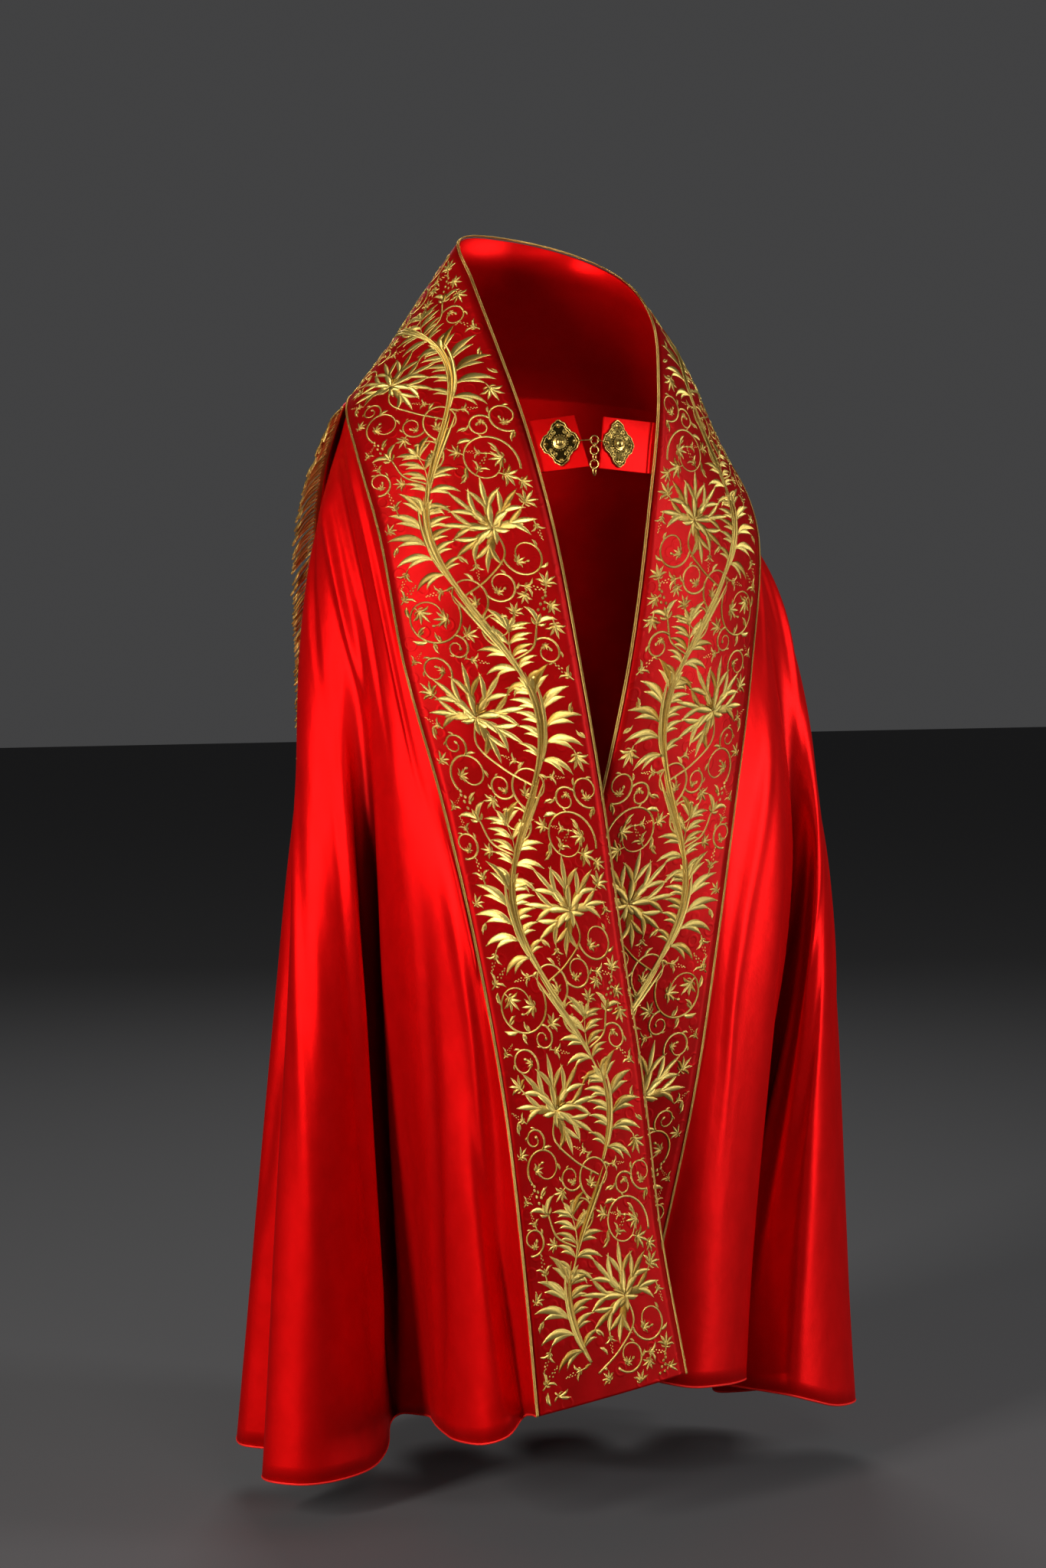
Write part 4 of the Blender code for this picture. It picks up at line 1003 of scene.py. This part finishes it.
def fill_gaps():
    """Grows small motifs into the widest gaps of the repeat, one after another."""
    ups, ins = np.arange(0, REPEAT, FILL_STEP), np.arange(0.012, 0.209, FILL_STEP)
    spots = np.stack(np.meshgrid(ups, ins, indexing="ij"), axis=-1).reshape(-1, 2)
    free = np.minimum(spots[:, 1] - EDGE_ROOM, 0.212 - spots[:, 1])
    nearest = np.column_stack([spots[:, 0], np.where(spots[:, 1] < BAND_MIDDLE, 0.0, BAND_WIDTH)])
    on_edge = np.ones(len(spots), bool)
    done = 0
    for number in range(MOST_FILLS):
        for line, _, half, *_ in strokes[done:]:
            for mark, reach in zip(line[::2], half[::2]):
                away = mark - spots
                away[:, 0] -= REPEAT * np.round(away[:, 0] / REPEAT)
                room = np.linalg.norm(away, axis=1) - reach
                closer = room < free
                nearest[closer] = (spots + away)[closer]
                free[closer], on_edge[closer] = room[closer], False
        done = len(strokes)
        widest = int(np.argmax(free))
        if free[widest] < SMALLEST_GAP:
            break
        grow(number, free[widest], spots[widest], nearest[widest], on_edge[widest])


def one_repeat():
    """Every stroke of one repeat: the trunk and its branches first, then the motifs, then the fillings."""
    strokes.clear()
    lay_trunk()
    for marks in BRANCHES:
        lay(marks, (0.0017, 0.0017, 0.0014), HIGH, 0.6)
    for motif, up, across, heading, size, turn in LAYOUT:
        motif(np.array([up, across]), math.radians(heading), size, turn)
    fill_gaps()
    return list(strokes)


pattern = one_repeat()
print("strokes in one repeat:", len(pattern))

# %% [markdown]
# The pattern is repeated from the hem to behind the neck, and mirrored on the other band, so that the two fronts
# face each other. Each chalk mark of a stroke becomes five points across it, domed above the band and closed below.

# %% The embroidery on both bands
STROKE_ACROSS = np.array([-1.0, -0.62, 0.0, 0.62, 1.0])
STROKE_DOME = np.array([0.0, 0.78, 1.0, 0.78, 0.0])
STROKE_RIM = np.array([1.0, 0.35, 0.0, 0.35, 1.0])
SINK, FLICKER, GLEAM, LEAST_DOME, THREAD_ANGLE = 0.0004, 0.14, 0.45, 0.35, math.radians(60)
KEEP_LOW, KEEP_HIGH = (0.006, 0.009), (1.549, 0.211)


def embroider(name, side):
    """All strokes on one band. Their chalk marks and heights are gathered first, then laid on the band together."""
    rng = np.random.default_rng(11)
    parts = Parts()
    for turn in range(-1, int(BAND_LENGTH / REPEAT) + 1):
        for line, left, half, height, shade, along in pattern:
            places = line + (turn * REPEAT, 0)
            flicker = rng.uniform(-FLICKER, FLICKER)
            if (places.min(axis=0) < KEEP_LOW).any() or (places.max(axis=0) > KEEP_HIGH).any():
                continue
            marks = places[:, None] + left[:, None] * (half[:, None] * STROKE_ACROSS)[..., None]
            lift = height * (LEAST_DOME + (1 - LEAST_DOME) * half / half.max())[:, None] * STROKE_DOME
            index, loop = point_numbers(marks), point_numbers(marks, closed=True)
            ahead = np.gradient(line, axis=0)
            # gleam is a painted highlight: strokes that run near THREAD_ANGLE are painted paler, as if their threads
            # caught the light.
            gleam = 0.5 + 0.5 * np.cos(2 * (np.arctan2(ahead[:, 1], ahead[:, 0]) - THREAD_ANGLE))
            level = np.repeat((1 - GLEAM) * shade + GLEAM * gleam + flicker, len(STROKE_DOME))
            threads = np.stack(np.broadcast_arrays(along[:, None], STROKE_ACROSS * half.max()), -1)
            parts.add(np.dstack([marks, lift]), quads(loop)[:, ::side], (index[0, ::side], index[-1, ::-side]),
                      threads, level, np.tile(STROKE_RIM, len(line)))
    up, into, lift = np.concatenate(parts.points).T
    parts.points = [band_surface(side * (EDGE_END - up), into, BAND_TOP - SINK + lift)]
    return parts.finish(name, GOLD_THREAD, "gold_thread")


embroidery_right, embroidery_left = embroider("embroidery_right", 1), embroider("embroidery_left", -1)
print("embroidery faces:", len(embroidery_right.data.polygons), len(embroidery_left.data.polygons))

# %% [markdown]
# Two thin gold cords, side by side, cover each long edge of the bands and run on round the neck without a join.

# %% Twin cords along the bands' edges
STRAND, STRAND_SIDES, CORD_MARKS, CORD_END = 0.00085, 7, 760, 0.0015
INNER_STRANDS = ((0.0010, 0.0021), (-0.0008, 0.0011))
OUTER_STRANDS = ((BAND_WIDTH - 0.0025, 0.0023), (BAND_WIDTH - 0.0008, 0.0020))


def make_cords(name, strands):
    """Two strands side by side, hem to hem round the neck."""
    parts = Parts()
    s = np.linspace(EDGE_END + CORD_END, -EDGE_END - CORD_END, CORD_MARKS)
    for t, lift in strands:
        sweep(parts, band_surface(s, t, lift), STRAND, STRAND_SIDES, shade=0.6)
    return parts.finish(name, GOLD_CORD, "gold_thread")


cords_inner, cords_outer = make_cords("cords_inner", INNER_STRANDS), make_cords("cords_outer", OUTER_STRANDS)
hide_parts("cord_inner")
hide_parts("cord_outer")

# %% [markdown]
# The hood is a shield of the same satin, hung under the collar. It is cut from its own table of half widths, its
# point is rounded, and it stands a little off the back's folds. Its fringe hangs from a narrow braid.

# %% The hood
HOOD_TOP_T = BAND_WIDTH + 0.006
HOOD_WIDTHS = (
    # depth below the top edge, half width
    (0.000, 0.240),
    (0.140, 0.262),
    (0.320, 0.288),
    (0.500, 0.300),
)
HOOD_DEPTH, HOOD_ROUNDNESS, HOOD_ROWS, HOOD_COLUMNS = 0.700, 2.4, 13, 20
HOOD_STAND_OFF, HOOD_FOLD_REACH, HOOD_WALL, HOOD_FINE = 0.0028, 0.075, 0.0025, (81, 66)
HOOD_CREASES = (
    # from s, t, to s, t, half width, height
    (0.060, 0.250, 0.100, 0.620, 0.030, 0.0030),
    (-0.110, 0.240, -0.150, 0.560, 0.026, -0.0025),
    (0.170, 0.245, 0.210, 0.500, 0.022, 0.0025),
    (-0.020, 0.420, -0.040, 0.760, 0.024, 0.0020),
)


def hood_cut():
    """The hood's chalk marks, columns from right to left and rows from its top edge down."""
    across = np.linspace(-1, 1, HOOD_COLUMNS + 1)[:, None]
    sides = np.array(HOOD_WIDTHS)
    reach = HOOD_DEPTH - (HOOD_DEPTH - sides[-1, 0]) * np.abs(across) ** HOOD_ROUNDNESS
    depth = reach * np.linspace(0, 1, HOOD_ROWS + 1)
    half = spline(sides[:, 0], sides[:, 1:], depth)[..., 0]
    return np.stack([-across * half, HOOD_TOP_T + depth], axis=-1)


def hood_grid():
    marks = hood_cut()
    radius = np.linalg.norm(marks, axis=-1)
    grid = mantle_points(np.arctan2(marks[..., 1], marks[..., 0]), radius, 0.0)
    stand_off = HOOD_STAND_OFF + HOOD_FOLD_REACH * fold_amount(radius)
    return grid + grid_normals(grid) * stand_off[..., None], marks


coarse_hood, coarse_marks = hood_grid()
hood_points, hood_marks = refine(coarse_hood, *HOOD_FINE), refine(coarse_marks, *HOOD_FINE)


def make_hood():
    parts = Parts()
    height = sum(lift * begin * end * across
                 for lift, _, begin, end, across in crease_rows(HOOD_CREASES, hood_marks, 4, 3))
    lifted = hood_points + grid_normals(hood_points) * height[..., None]
    parts.add(lifted, quads(point_numbers(lifted)), marks=hood_marks)
    hood = parts.finish("satin_hood", SATIN, "satin")
    apply_modifier(hood, "SOLIDIFY", thickness=HOOD_WALL, offset=1.0)
    return hood


satin_hood = make_hood()
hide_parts("hood")

# %% Its bullion fringe
FRINGE_STRANDS, FRINGE_GAP, FRINGE_STRIP, FRINGE_WALL = 300, 0.0009, 0.010, 0.0024
BULLION_LENGTH, BULLION_RADIUS = 0.046, 0.0017
STRAND_FALL, STRAND_SAG, STRAND_JITTER = (0.62, 0.34, 0.72), 0.0035, 0.030
BRAID_LANES, BRAID_LANE, BRAID_LIFT, BRAID_SIDES = (0.14, 0.38, 0.62, 0.86), 0.15, 0.0003, 6
BULLION_SHAPE, BULLION_SIDES, BULLION_ROOT = np.array([0.9, 1.0, 1.0, 1.05, 0.8]), 5, 0.8


def evenly(line, count, *others):
    """A line and what goes with it, read again at equal lengths."""
    length = lengths_along(line)
    at = np.linspace(0, length[-1], count)
    return [np.stack([np.interp(at, length, values[:, i]) for i in range(3)], axis=1) for values in (line, *others)]


def hood_edge(grid):
    """The hood's free edge from its top right corner round the point to its top left one, with the ways out."""
    line = np.concatenate([grid[0], grid[1:-1, -1], grid[-1, ::-1]])
    inside = np.concatenate([grid[1, :-1], grid[1:2, -2], grid[1:-1, -2], grid[-2:-1, -2], grid[-2, -2::-1]])
    normals = grid_normals(grid)
    faces_out = np.concatenate([normals[0], normals[1:-1, -1], normals[-1, ::-1]])
    along = unit(np.gradient(line, axis=0))
    out = line - inside
    return line, unit(out - along * (out * along).sum(axis=1, keepdims=True)), faces_out


def make_fringe():
    """A narrow braid along the hood's edge, with bullion strands that fall out of it."""
    line, out, normal = hood_edge(coarse_hood)
    for _ in range(3):
        out[1:-1] = unit(out[:-2] + out[1:-1] + out[2:])
    line, out, normal = evenly(line, 2 * FRINGE_STRANDS + 1, out, normal)
    print("fringe length:", lengths_along(line)[-1])
    out, normal = unit(out), unit(normal)
    parts, rng = Parts(), np.random.default_rng(5)
    root = line + out * FRINGE_GAP + normal * FRINGE_WALL / 2
    for lane in BRAID_LANES:
        place = root + out * FRINGE_STRIP * lane + normal * BRAID_LIFT
        sweep(parts, place, FRINGE_STRIP * BRAID_LANE, BRAID_SIDES, shade=0.55)
    away, off, down = STRAND_FALL
    fall = np.linspace(0, 1, len(BULLION_SHAPE))[:, None]
    for i in range(1, len(line) - 1, 2):
        pull = unit(out[i] * away + normal[i] * off - np.array([0, 0, down]) + rng.normal(0, STRAND_JITTER, 3))
        sag = -STRAND_SAG * fall * (1 - fall) * 4 * normal[i]
        start = root[i] + out[i] * FRINGE_STRIP * BULLION_ROOT
        path = start + pull * BULLION_LENGTH * rng.uniform(0.93, 1.0) * fall - sag
        sweep(parts, path, BULLION_RADIUS * BULLION_SHAPE, BULLION_SIDES, shade=rng.uniform(0.25, 0.85))
    return parts.finish("bullion_fringe", GOLD_CORD, "gold_thread")


bullion_fringe = make_fringe()
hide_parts("hood_fringe")
print("fringe faces:", len(bullion_fringe.data.polygons))

# %% [markdown]
# The clasp is openwork metal. Each plate is read back from its solid: where it stands, which way it faces and which
# way is up. One plate is made at rest in its own axes, then placed twice.

# %% Where the plates stand
def solid_points(node):
    """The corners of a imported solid."""
    return np.array([v.co for v in frame["nodes"][node].data.vertices])


def plate_frame(node):
    """The place of a plate's middle, with its axes: to the wearer's left, up, and out of the cloth."""
    points = solid_points(node)
    middle = points.mean(axis=0)
    axes = np.linalg.svd(points - middle, full_matrices=False)[2]
    up = axes[np.argmax(np.abs(axes[:, 2]))]
    up = up * np.sign(up[2])
    left = axes[np.argmax(np.abs(axes[:, 0]))]
    left = left * np.sign(left[0])
    out = np.cross(left, up)
    middle = middle + sum(axis * (np.ptp(points @ axis) / 2 + (points @ axis).min() - middle @ axis)
                          for axis in (left, up, out))
    turn = Matrix((left, up, out)).transposed().to_4x4()
    return Matrix.Translation(middle) @ turn


PLATE_RIGHT, PLATE_LEFT = plate_frame("clasp_plate_right"), plate_frame("clasp_plate_left")

# %% The openwork plates
PLATE_HALF_WIDTH, PLATE_HALF_HEIGHT, PLATE_WALL, PLATE_MARKS = 0.0245, 0.0300, 0.0018, 96
LOBE_DEPTH, SCALLOP_DEPTH, BACKING_SHARE, BACKING_LIFT = 0.12, 0.02, 0.97, 0.55
RIM_SINK, SCROLL_SINK, DOME_ANGLE = 0.0006, 0.0007, math.radians(50)
RIM_WIRES = (
    # share of the plate, half width, sides
    (0.965, 0.0009, 8),
    (0.84, 0.0006, 6),
)
SCROLLS = (
    # share of the plate, degrees off the lobe's middle, heading off that, size, hand
    (0.46, 27, -0.35 - math.radians(27), 0.0032, 1),
    (0.44, 40, 0.5, 0.0024, -1),
)
SCROLL_MARKS, SCROLL_SIDES, SCROLL_TURN, SCROLL_WIDTH = 26, 6, math.radians(440), 0.00055
KNOB_SHAPE, KNOB_MARKS = ((1.25, 0.0), (1.25, 0.18), (0.95, 0.26), (0.88, 0.55), (0.60, 0.86), (0.22, 1.0)), 16
LOBE_KNOB, RING_KNOB = (0.0027, 0.0022), (0.0009, 0.0007)
LOBE_SHARE, RING_KNOBS, RING_OF_KNOBS = 0.74, 20, 0.0098
DOME = (
    # radius, height
    (0.0082, 0.0000),
    (0.0082, 0.0010),
    (0.0066, 0.0013),
    (0.0066, 0.0024),
    (0.0050, 0.0028),
    (0.0046, 0.0042),
    (0.0036, 0.0052),
    (0.0022, 0.0059),
    (0.0008, 0.0062),
)
DOME_MARKS = 40


def plate_line(share, height):
    """The plate's outline at a share of its size: a diamond with four round lobes and small scallops."""
    a = np.linspace(0, 2 * math.pi, PLATE_MARKS, endpoint=False)
    r = share * (1 - LOBE_DEPTH * (1 - np.cos(4 * a)) - SCALLOP_DEPTH * (1 - np.cos(16 * a)))
    return np.stack([PLATE_HALF_WIDTH * r * np.cos(a), PLATE_HALF_HEIGHT * r * np.sin(a), np.full(len(a), height)], 1)


def plate_spot(share, angle):
    """A place on the plate, as a share of its size and an angle."""
    return PLATE_HALF_WIDTH * share * math.cos(angle), PLATE_HALF_HEIGHT * share * math.sin(angle)


def open_mesh():
    """Goes into edit mode with the whole mesh selected."""
    bpy.ops.object.mode_set(mode="EDIT")
    bpy.ops.mesh.select_all(action="SELECT")


def close_mesh():
    """Turns the faces outwards and leaves edit mode."""
    bpy.ops.mesh.select_all(action="SELECT")
    bpy.ops.mesh.normals_make_consistent(inside=False)
    bpy.ops.object.mode_set(mode="OBJECT")


def raise_mesh(height):
    """Draws what is selected up, with walls."""
    bpy.ops.mesh.extrude_region_move(TRANSFORM_OT_translate={"value": (0, 0, height)})


def new_circle(name, count, radius):
    """A flat disc of so many sides, which stays the active object."""
    select_only()
    bpy.ops.mesh.primitive_circle_add(vertices=count, radius=radius, fill_type="NGON")
    bpy.context.object.name = name
    return bpy.context.object


def make_backing(name, matrix):
    """The ground behind the openwork, near black as painted shade in its hollows: a circle drawn out to the plate's
    outline, and extruded.
    """
    backing = new_circle(name, PLATE_MARKS, 1)
    for vertex, place in zip(backing.data.vertices, plate_line(BACKING_SHARE, -PLATE_WALL / 2)):
        vertex.co = place
    open_mesh()
    raise_mesh(PLATE_WALL * BACKING_LIFT)
    close_mesh()
    backing.data.transform(matrix)
    backing.data.materials.append(PAINTED_SHADE_GOLD)
    return settle(backing)


def curl(parts, x, y, heading, size, hand, height):
    """A wire scroll on the plate that winds in on itself."""
    turn = hand * SCROLL_TURN / SCROLL_MARKS
    lengths = size * abs(turn) * (1 - 0.75 * np.linspace(0, 1, SCROLL_MARKS))
    angles = heading + turn * np.arange(SCROLL_MARKS)
    path = np.concatenate([[[0, 0]], np.cumsum(rays(angles) * lengths[:, None], axis=0)]) + (x, y)
    sweep(parts, np.column_stack([path, np.full(len(path), height)]), SCROLL_WIDTH, SCROLL_SIDES)


def knob(parts, x, y, radius, height):
    """A small turned knob: a collar and a round top."""
    turn = np.linspace(0, 2 * math.pi, KNOB_MARKS, endpoint=False)
    rings = np.array([[(x + radius * r * math.cos(a), y + radius * r * math.sin(a), height * z) for a in turn]
                      for r, z in KNOB_SHAPE])
    index = point_numbers(rings)
    parts.add(rings, quads(point_numbers(rings, closed=True))[:, ::-1], (index[0, ::-1], index[-1]))


def make_openwork(name, matrix):
    """Rim wires, scrolls in each quarter, four knobs on the lobes and a beaded ring round the boss."""
    parts = Parts()
    top = PLATE_WALL / 2
    for share, half_width, sides in RIM_WIRES:
        sweep(parts, plate_line(share, top - RIM_SINK), half_width, sides, closed=True)
    for a in np.radians((0, 90, 180, 270)):
        knob(parts, *plate_spot(LOBE_SHARE, a), LOBE_KNOB[0], top + LOBE_KNOB[1])
        for share, lean, heading, size, hand in SCROLLS:
            for side in (1, -1):
                b = a + side * math.radians(lean)
                curl(parts, *plate_spot(share, b), b + side * heading, size, side * hand, top - SCROLL_SINK)
    for a in 2 * math.pi * np.arange(RING_KNOBS) / RING_KNOBS:
        knob(parts, *(RING_OF_KNOBS * ray(a)), RING_KNOB[0], top + RING_KNOB[1])
    parts.finish(name, ANTIQUE_GOLD, "antique_gold", matrix=matrix)


def make_dome(name, matrix):
    """The stepped boss: a circle extruded up and drawn in, step by step, and closed on top."""
    dome = new_circle(name, DOME_MARKS, DOME[0][0])
    open_mesh()
    for (radius, height), (next_radius, next_height) in zip(DOME, DOME[1:]):
        raise_mesh(next_height - height)
        bpy.ops.transform.resize(value=(next_radius / radius,) * 2 + (1,))
    close_mesh()
    dome.data.shade_smooth()
    bpy.ops.object.shade_smooth_by_angle(angle=DOME_ANGLE)
    dome.data.transform(matrix @ Matrix.Translation((0, 0, PLATE_WALL / 2)))
    dome.data.materials.append(ANTIQUE_GOLD)
    return settle(dome)


for word, matrix in (("right", PLATE_RIGHT), ("left", PLATE_LEFT)):
    backing = make_backing("plate_backing_" + word, matrix)
    make_openwork("openwork_" + word, matrix)
    dome = make_dome("dome_" + word, matrix)
    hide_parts("clasp_plate_" + word)
    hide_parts("clasp_boss_" + word)

# %% [markdown]
# The rings are wire too, so each is a fine ring in the place of its solid, read back in the same way. The hook comes
# from the right plate's corner, bends over the ring's wire and ends free; the eye on the left holds the ring for good.

# %% Rings, hook and eye
WIRE, EYE_WIRE, RING_RADIUS, RING_GAP = 0.0008, 0.0006, 0.0052, 0.0004
CORNER_STEP, ROOT_STEP, BEND_STEP, CLOSED = 0.0012, 0.003, 15, 180
RING_MARKS, WIRE_SIDES = 40, 10
RING_CENTRE = np.array([-0.0063, -0.1715, -0.1198])


def make_ring(node, body="cope"):
    """A fine wire ring in the place of its solid."""
    points = solid_points(node)
    low, high = points.min(axis=0), points.max(axis=0)
    middle = (low + high) / 2
    axis = Vector(np.linalg.svd(points - middle, full_matrices=False)[2][2])
    reach = np.linalg.norm(points - middle, axis=1).max() - WIRE
    select_only()
    bpy.ops.mesh.primitive_torus_add(
        major_segments=RING_MARKS, minor_segments=WIRE_SIDES, major_radius=reach, minor_radius=WIRE)
    ring = bpy.context.object
    ring.name = "wire_" + node
    turn = Vector((0, 0, 1)).rotation_difference(axis).to_matrix().to_4x4()
    ring.data.transform(Matrix.Translation(middle) @ turn)
    ring.data.shade_smooth()
    ring.data.materials.append(ANTIQUE_GOLD)
    settle(ring, body)
    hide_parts(node)


def make_hold(name, node, corner, ring_side, radius, last_angle):
    """A wire from a plate's corner round the ring's wire, and back to the corner where it is closed."""
    ahead = unit(ring_side - corner)
    forward = unit(np.array([0, -1.0, 0]) + ahead * ahead[1])
    reach = radius + WIRE + RING_GAP
    bend = [ring_side + ahead * reach * math.sin(a) + forward * reach * math.cos(a)
            for a in np.radians(np.arange(0, last_angle + 1, BEND_STEP))]
    root = corner - ahead * ROOT_STEP
    route = [root + forward * reach * 0.6, corner + ahead * CORNER_STEP + forward * reach, *bend]
    if last_angle == CLOSED:
        route += [corner + ahead * CORNER_STEP - forward * reach]
    route = np.array(route)
    at = np.linspace(0, len(route) - 1, 4 * len(route))
    parts = Parts()
    sweep(parts, spline(np.arange(len(route)), route, at), radius, WIRE_SIDES)
    hold = parts.finish(name, ANTIQUE_GOLD, "antique_gold")
    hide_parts(node)


make_ring("clasp_ring")
for node in ("tail_link", "tail_ring_1", "tail_ring_2", "tail_ring_3", "tail_ring_4"):
    make_ring(node, "clasp_tail")
RIGHT_CORNER = np.array(PLATE_RIGHT @ Vector((PLATE_HALF_WIDTH, 0, 0)))
LEFT_CORNER = np.array(PLATE_LEFT @ Vector((-PLATE_HALF_WIDTH, 0, 0)))
RING_REACH = np.array([RING_RADIUS, 0, 0])
make_hold("hook_wire", "clasp_hook", RIGHT_CORNER, RING_CENTRE - RING_REACH, WIRE, 150)
make_hold("eye_wire", "clasp_eye", LEFT_CORNER, RING_CENTRE + RING_REACH, EYE_WIRE, CLOSED)

# %% The satin tabs
WELD, FLATNESS, TAB_ROUND, TAB_ANGLE = 0.00002, 0.6, 0.0011, math.radians(40)


def make_tab(word):
    """The tab's solid, made again as cloth: welded, rounded at its edges and smooth over its face."""
    tab = frame["nodes"]["clasp_tab_" + word].copy()
    tab.data = tab.data.copy()
    tab.name = "satin_tab_" + word
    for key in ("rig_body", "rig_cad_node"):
        if key in tab:
            del tab[key]
    tab.parent = None
    bpy.context.scene.collection.objects.link(tab)
    select_only(tab)
    open_mesh()
    bpy.ops.mesh.remove_doubles(threshold=WELD)
    bpy.ops.mesh.tris_convert_to_quads(face_threshold=FLATNESS, shape_threshold=FLATNESS)
    bpy.ops.mesh.normals_make_consistent(inside=False)
    bpy.ops.uv.cube_project(cube_size=1.0, scale_to_bounds=False)
    bpy.ops.object.mode_set(mode="OBJECT")
    tab.data.uv_layers.active.name = "cut"
    apply_modifier(tab, "BEVEL", width=TAB_ROUND, segments=3, limit_method="ANGLE", angle_limit=TAB_ANGLE)
    tab.data.shade_smooth()
    bpy.ops.object.shade_smooth_by_angle(angle=TAB_ANGLE)
    tab.data.materials.clear()
    tab.data.materials.append(SATIN)
    settle(tab)
    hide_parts("clasp_tab_" + word)
    return tab


satin_tabs = [make_tab("right"), make_tab("left")]

# %% [markdown]

# %% [markdown]
# The picture is taken in a dim room: a plain dark floor below, a tall soft light on the left, a weaker one on the
# right, and a little from the front and the back. The camera looks from where the photograph does, a bit to the side.

# %% Floor, light and camera
FLOOR_Z, FLOOR_SIZE = -1.452, 40
select_only()
bpy.ops.mesh.primitive_plane_add(size=FLOOR_SIZE, location=(0, 0, FLOOR_Z))
floor = bpy.context.object
floor.name = "floor"
floor_look = bpy.data.materials.new("floor")
floor_look.use_nodes = True
for key, value in (("Base Color", (0.06, 0.06, 0.062, 1)), ("Roughness", 0.8)):
    floor_look.node_tree.nodes["Principled BSDF"].inputs[key].default_value = value
floor.data.materials.append(floor_look)


def area_light(name, place, aim_height, size, power, colour):
    """A soft rectangular light, aimed at a height on the garment's own upright line."""
    lamp = bpy.data.lights.new(name, "AREA")
    lamp.shape, lamp.size, lamp.size_y, lamp.energy, lamp.color = "RECTANGLE", size[0], size[1], power, colour
    obj = bpy.data.objects.new(name, lamp)
    obj.location = place
    obj.rotation_euler = (Vector((0, 0, aim_height)) - Vector(place)).to_track_quat("-Z", "Y").to_euler()
    bpy.context.scene.collection.objects.link(obj)


area_light("key", (-4.0, -1.7, 0.5), -0.6, (0.8, 3.2), 245, (1.0, 0.98, 0.95))
area_light("front", (-0.6, -4.4, 1.4), -0.4, (1.4, 1.4), 42, (1.0, 0.99, 0.97))
area_light("fill", (3.4, -2.4, 0.1), -0.7, (0.8, 2.8), 125, (0.98, 0.98, 1.0))
area_light("back", (1.2, 3.6, 1.8), -0.4, (1.8, 1.8), 50, (1, 1, 1))
world = bpy.data.worlds.new("room")
world.use_nodes = True
for key, value in (("Color", (0.90, 0.90, 0.92, 1)), ("Strength", 0.06)):
    world.node_tree.nodes["Background"].inputs[key].default_value = value
bpy.context.scene.world = world

CAMERA_ANGLE, CAMERA_DISTANCE, CAMERA_Z = math.radians(-25), 3.8, -0.32
AIM_Z, AIM_SHIFT, LENS = -0.546, 0.0204, 68.8
camera_data = bpy.data.cameras.new("camera")
camera_data.lens = LENS
camera = bpy.data.objects.new("camera", camera_data)
sight = Vector((math.sin(CAMERA_ANGLE), -math.cos(CAMERA_ANGLE), 0))
beside = Vector((math.cos(CAMERA_ANGLE), math.sin(CAMERA_ANGLE), 0))
camera.location = sight * CAMERA_DISTANCE + Vector((0, 0, CAMERA_Z))
aim = Vector((0, 0, AIM_Z)) - beside * AIM_SHIFT
camera.rotation_euler = (aim - camera.location).to_track_quat("-Z", "Y").to_euler()
bpy.context.scene.collection.objects.link(camera)
bpy.context.scene.camera = camera
bpy.context.scene.render.resolution_x, bpy.context.scene.render.resolution_y = 1366, 2048
bpy.context.scene.view_settings.view_transform = "Standard"
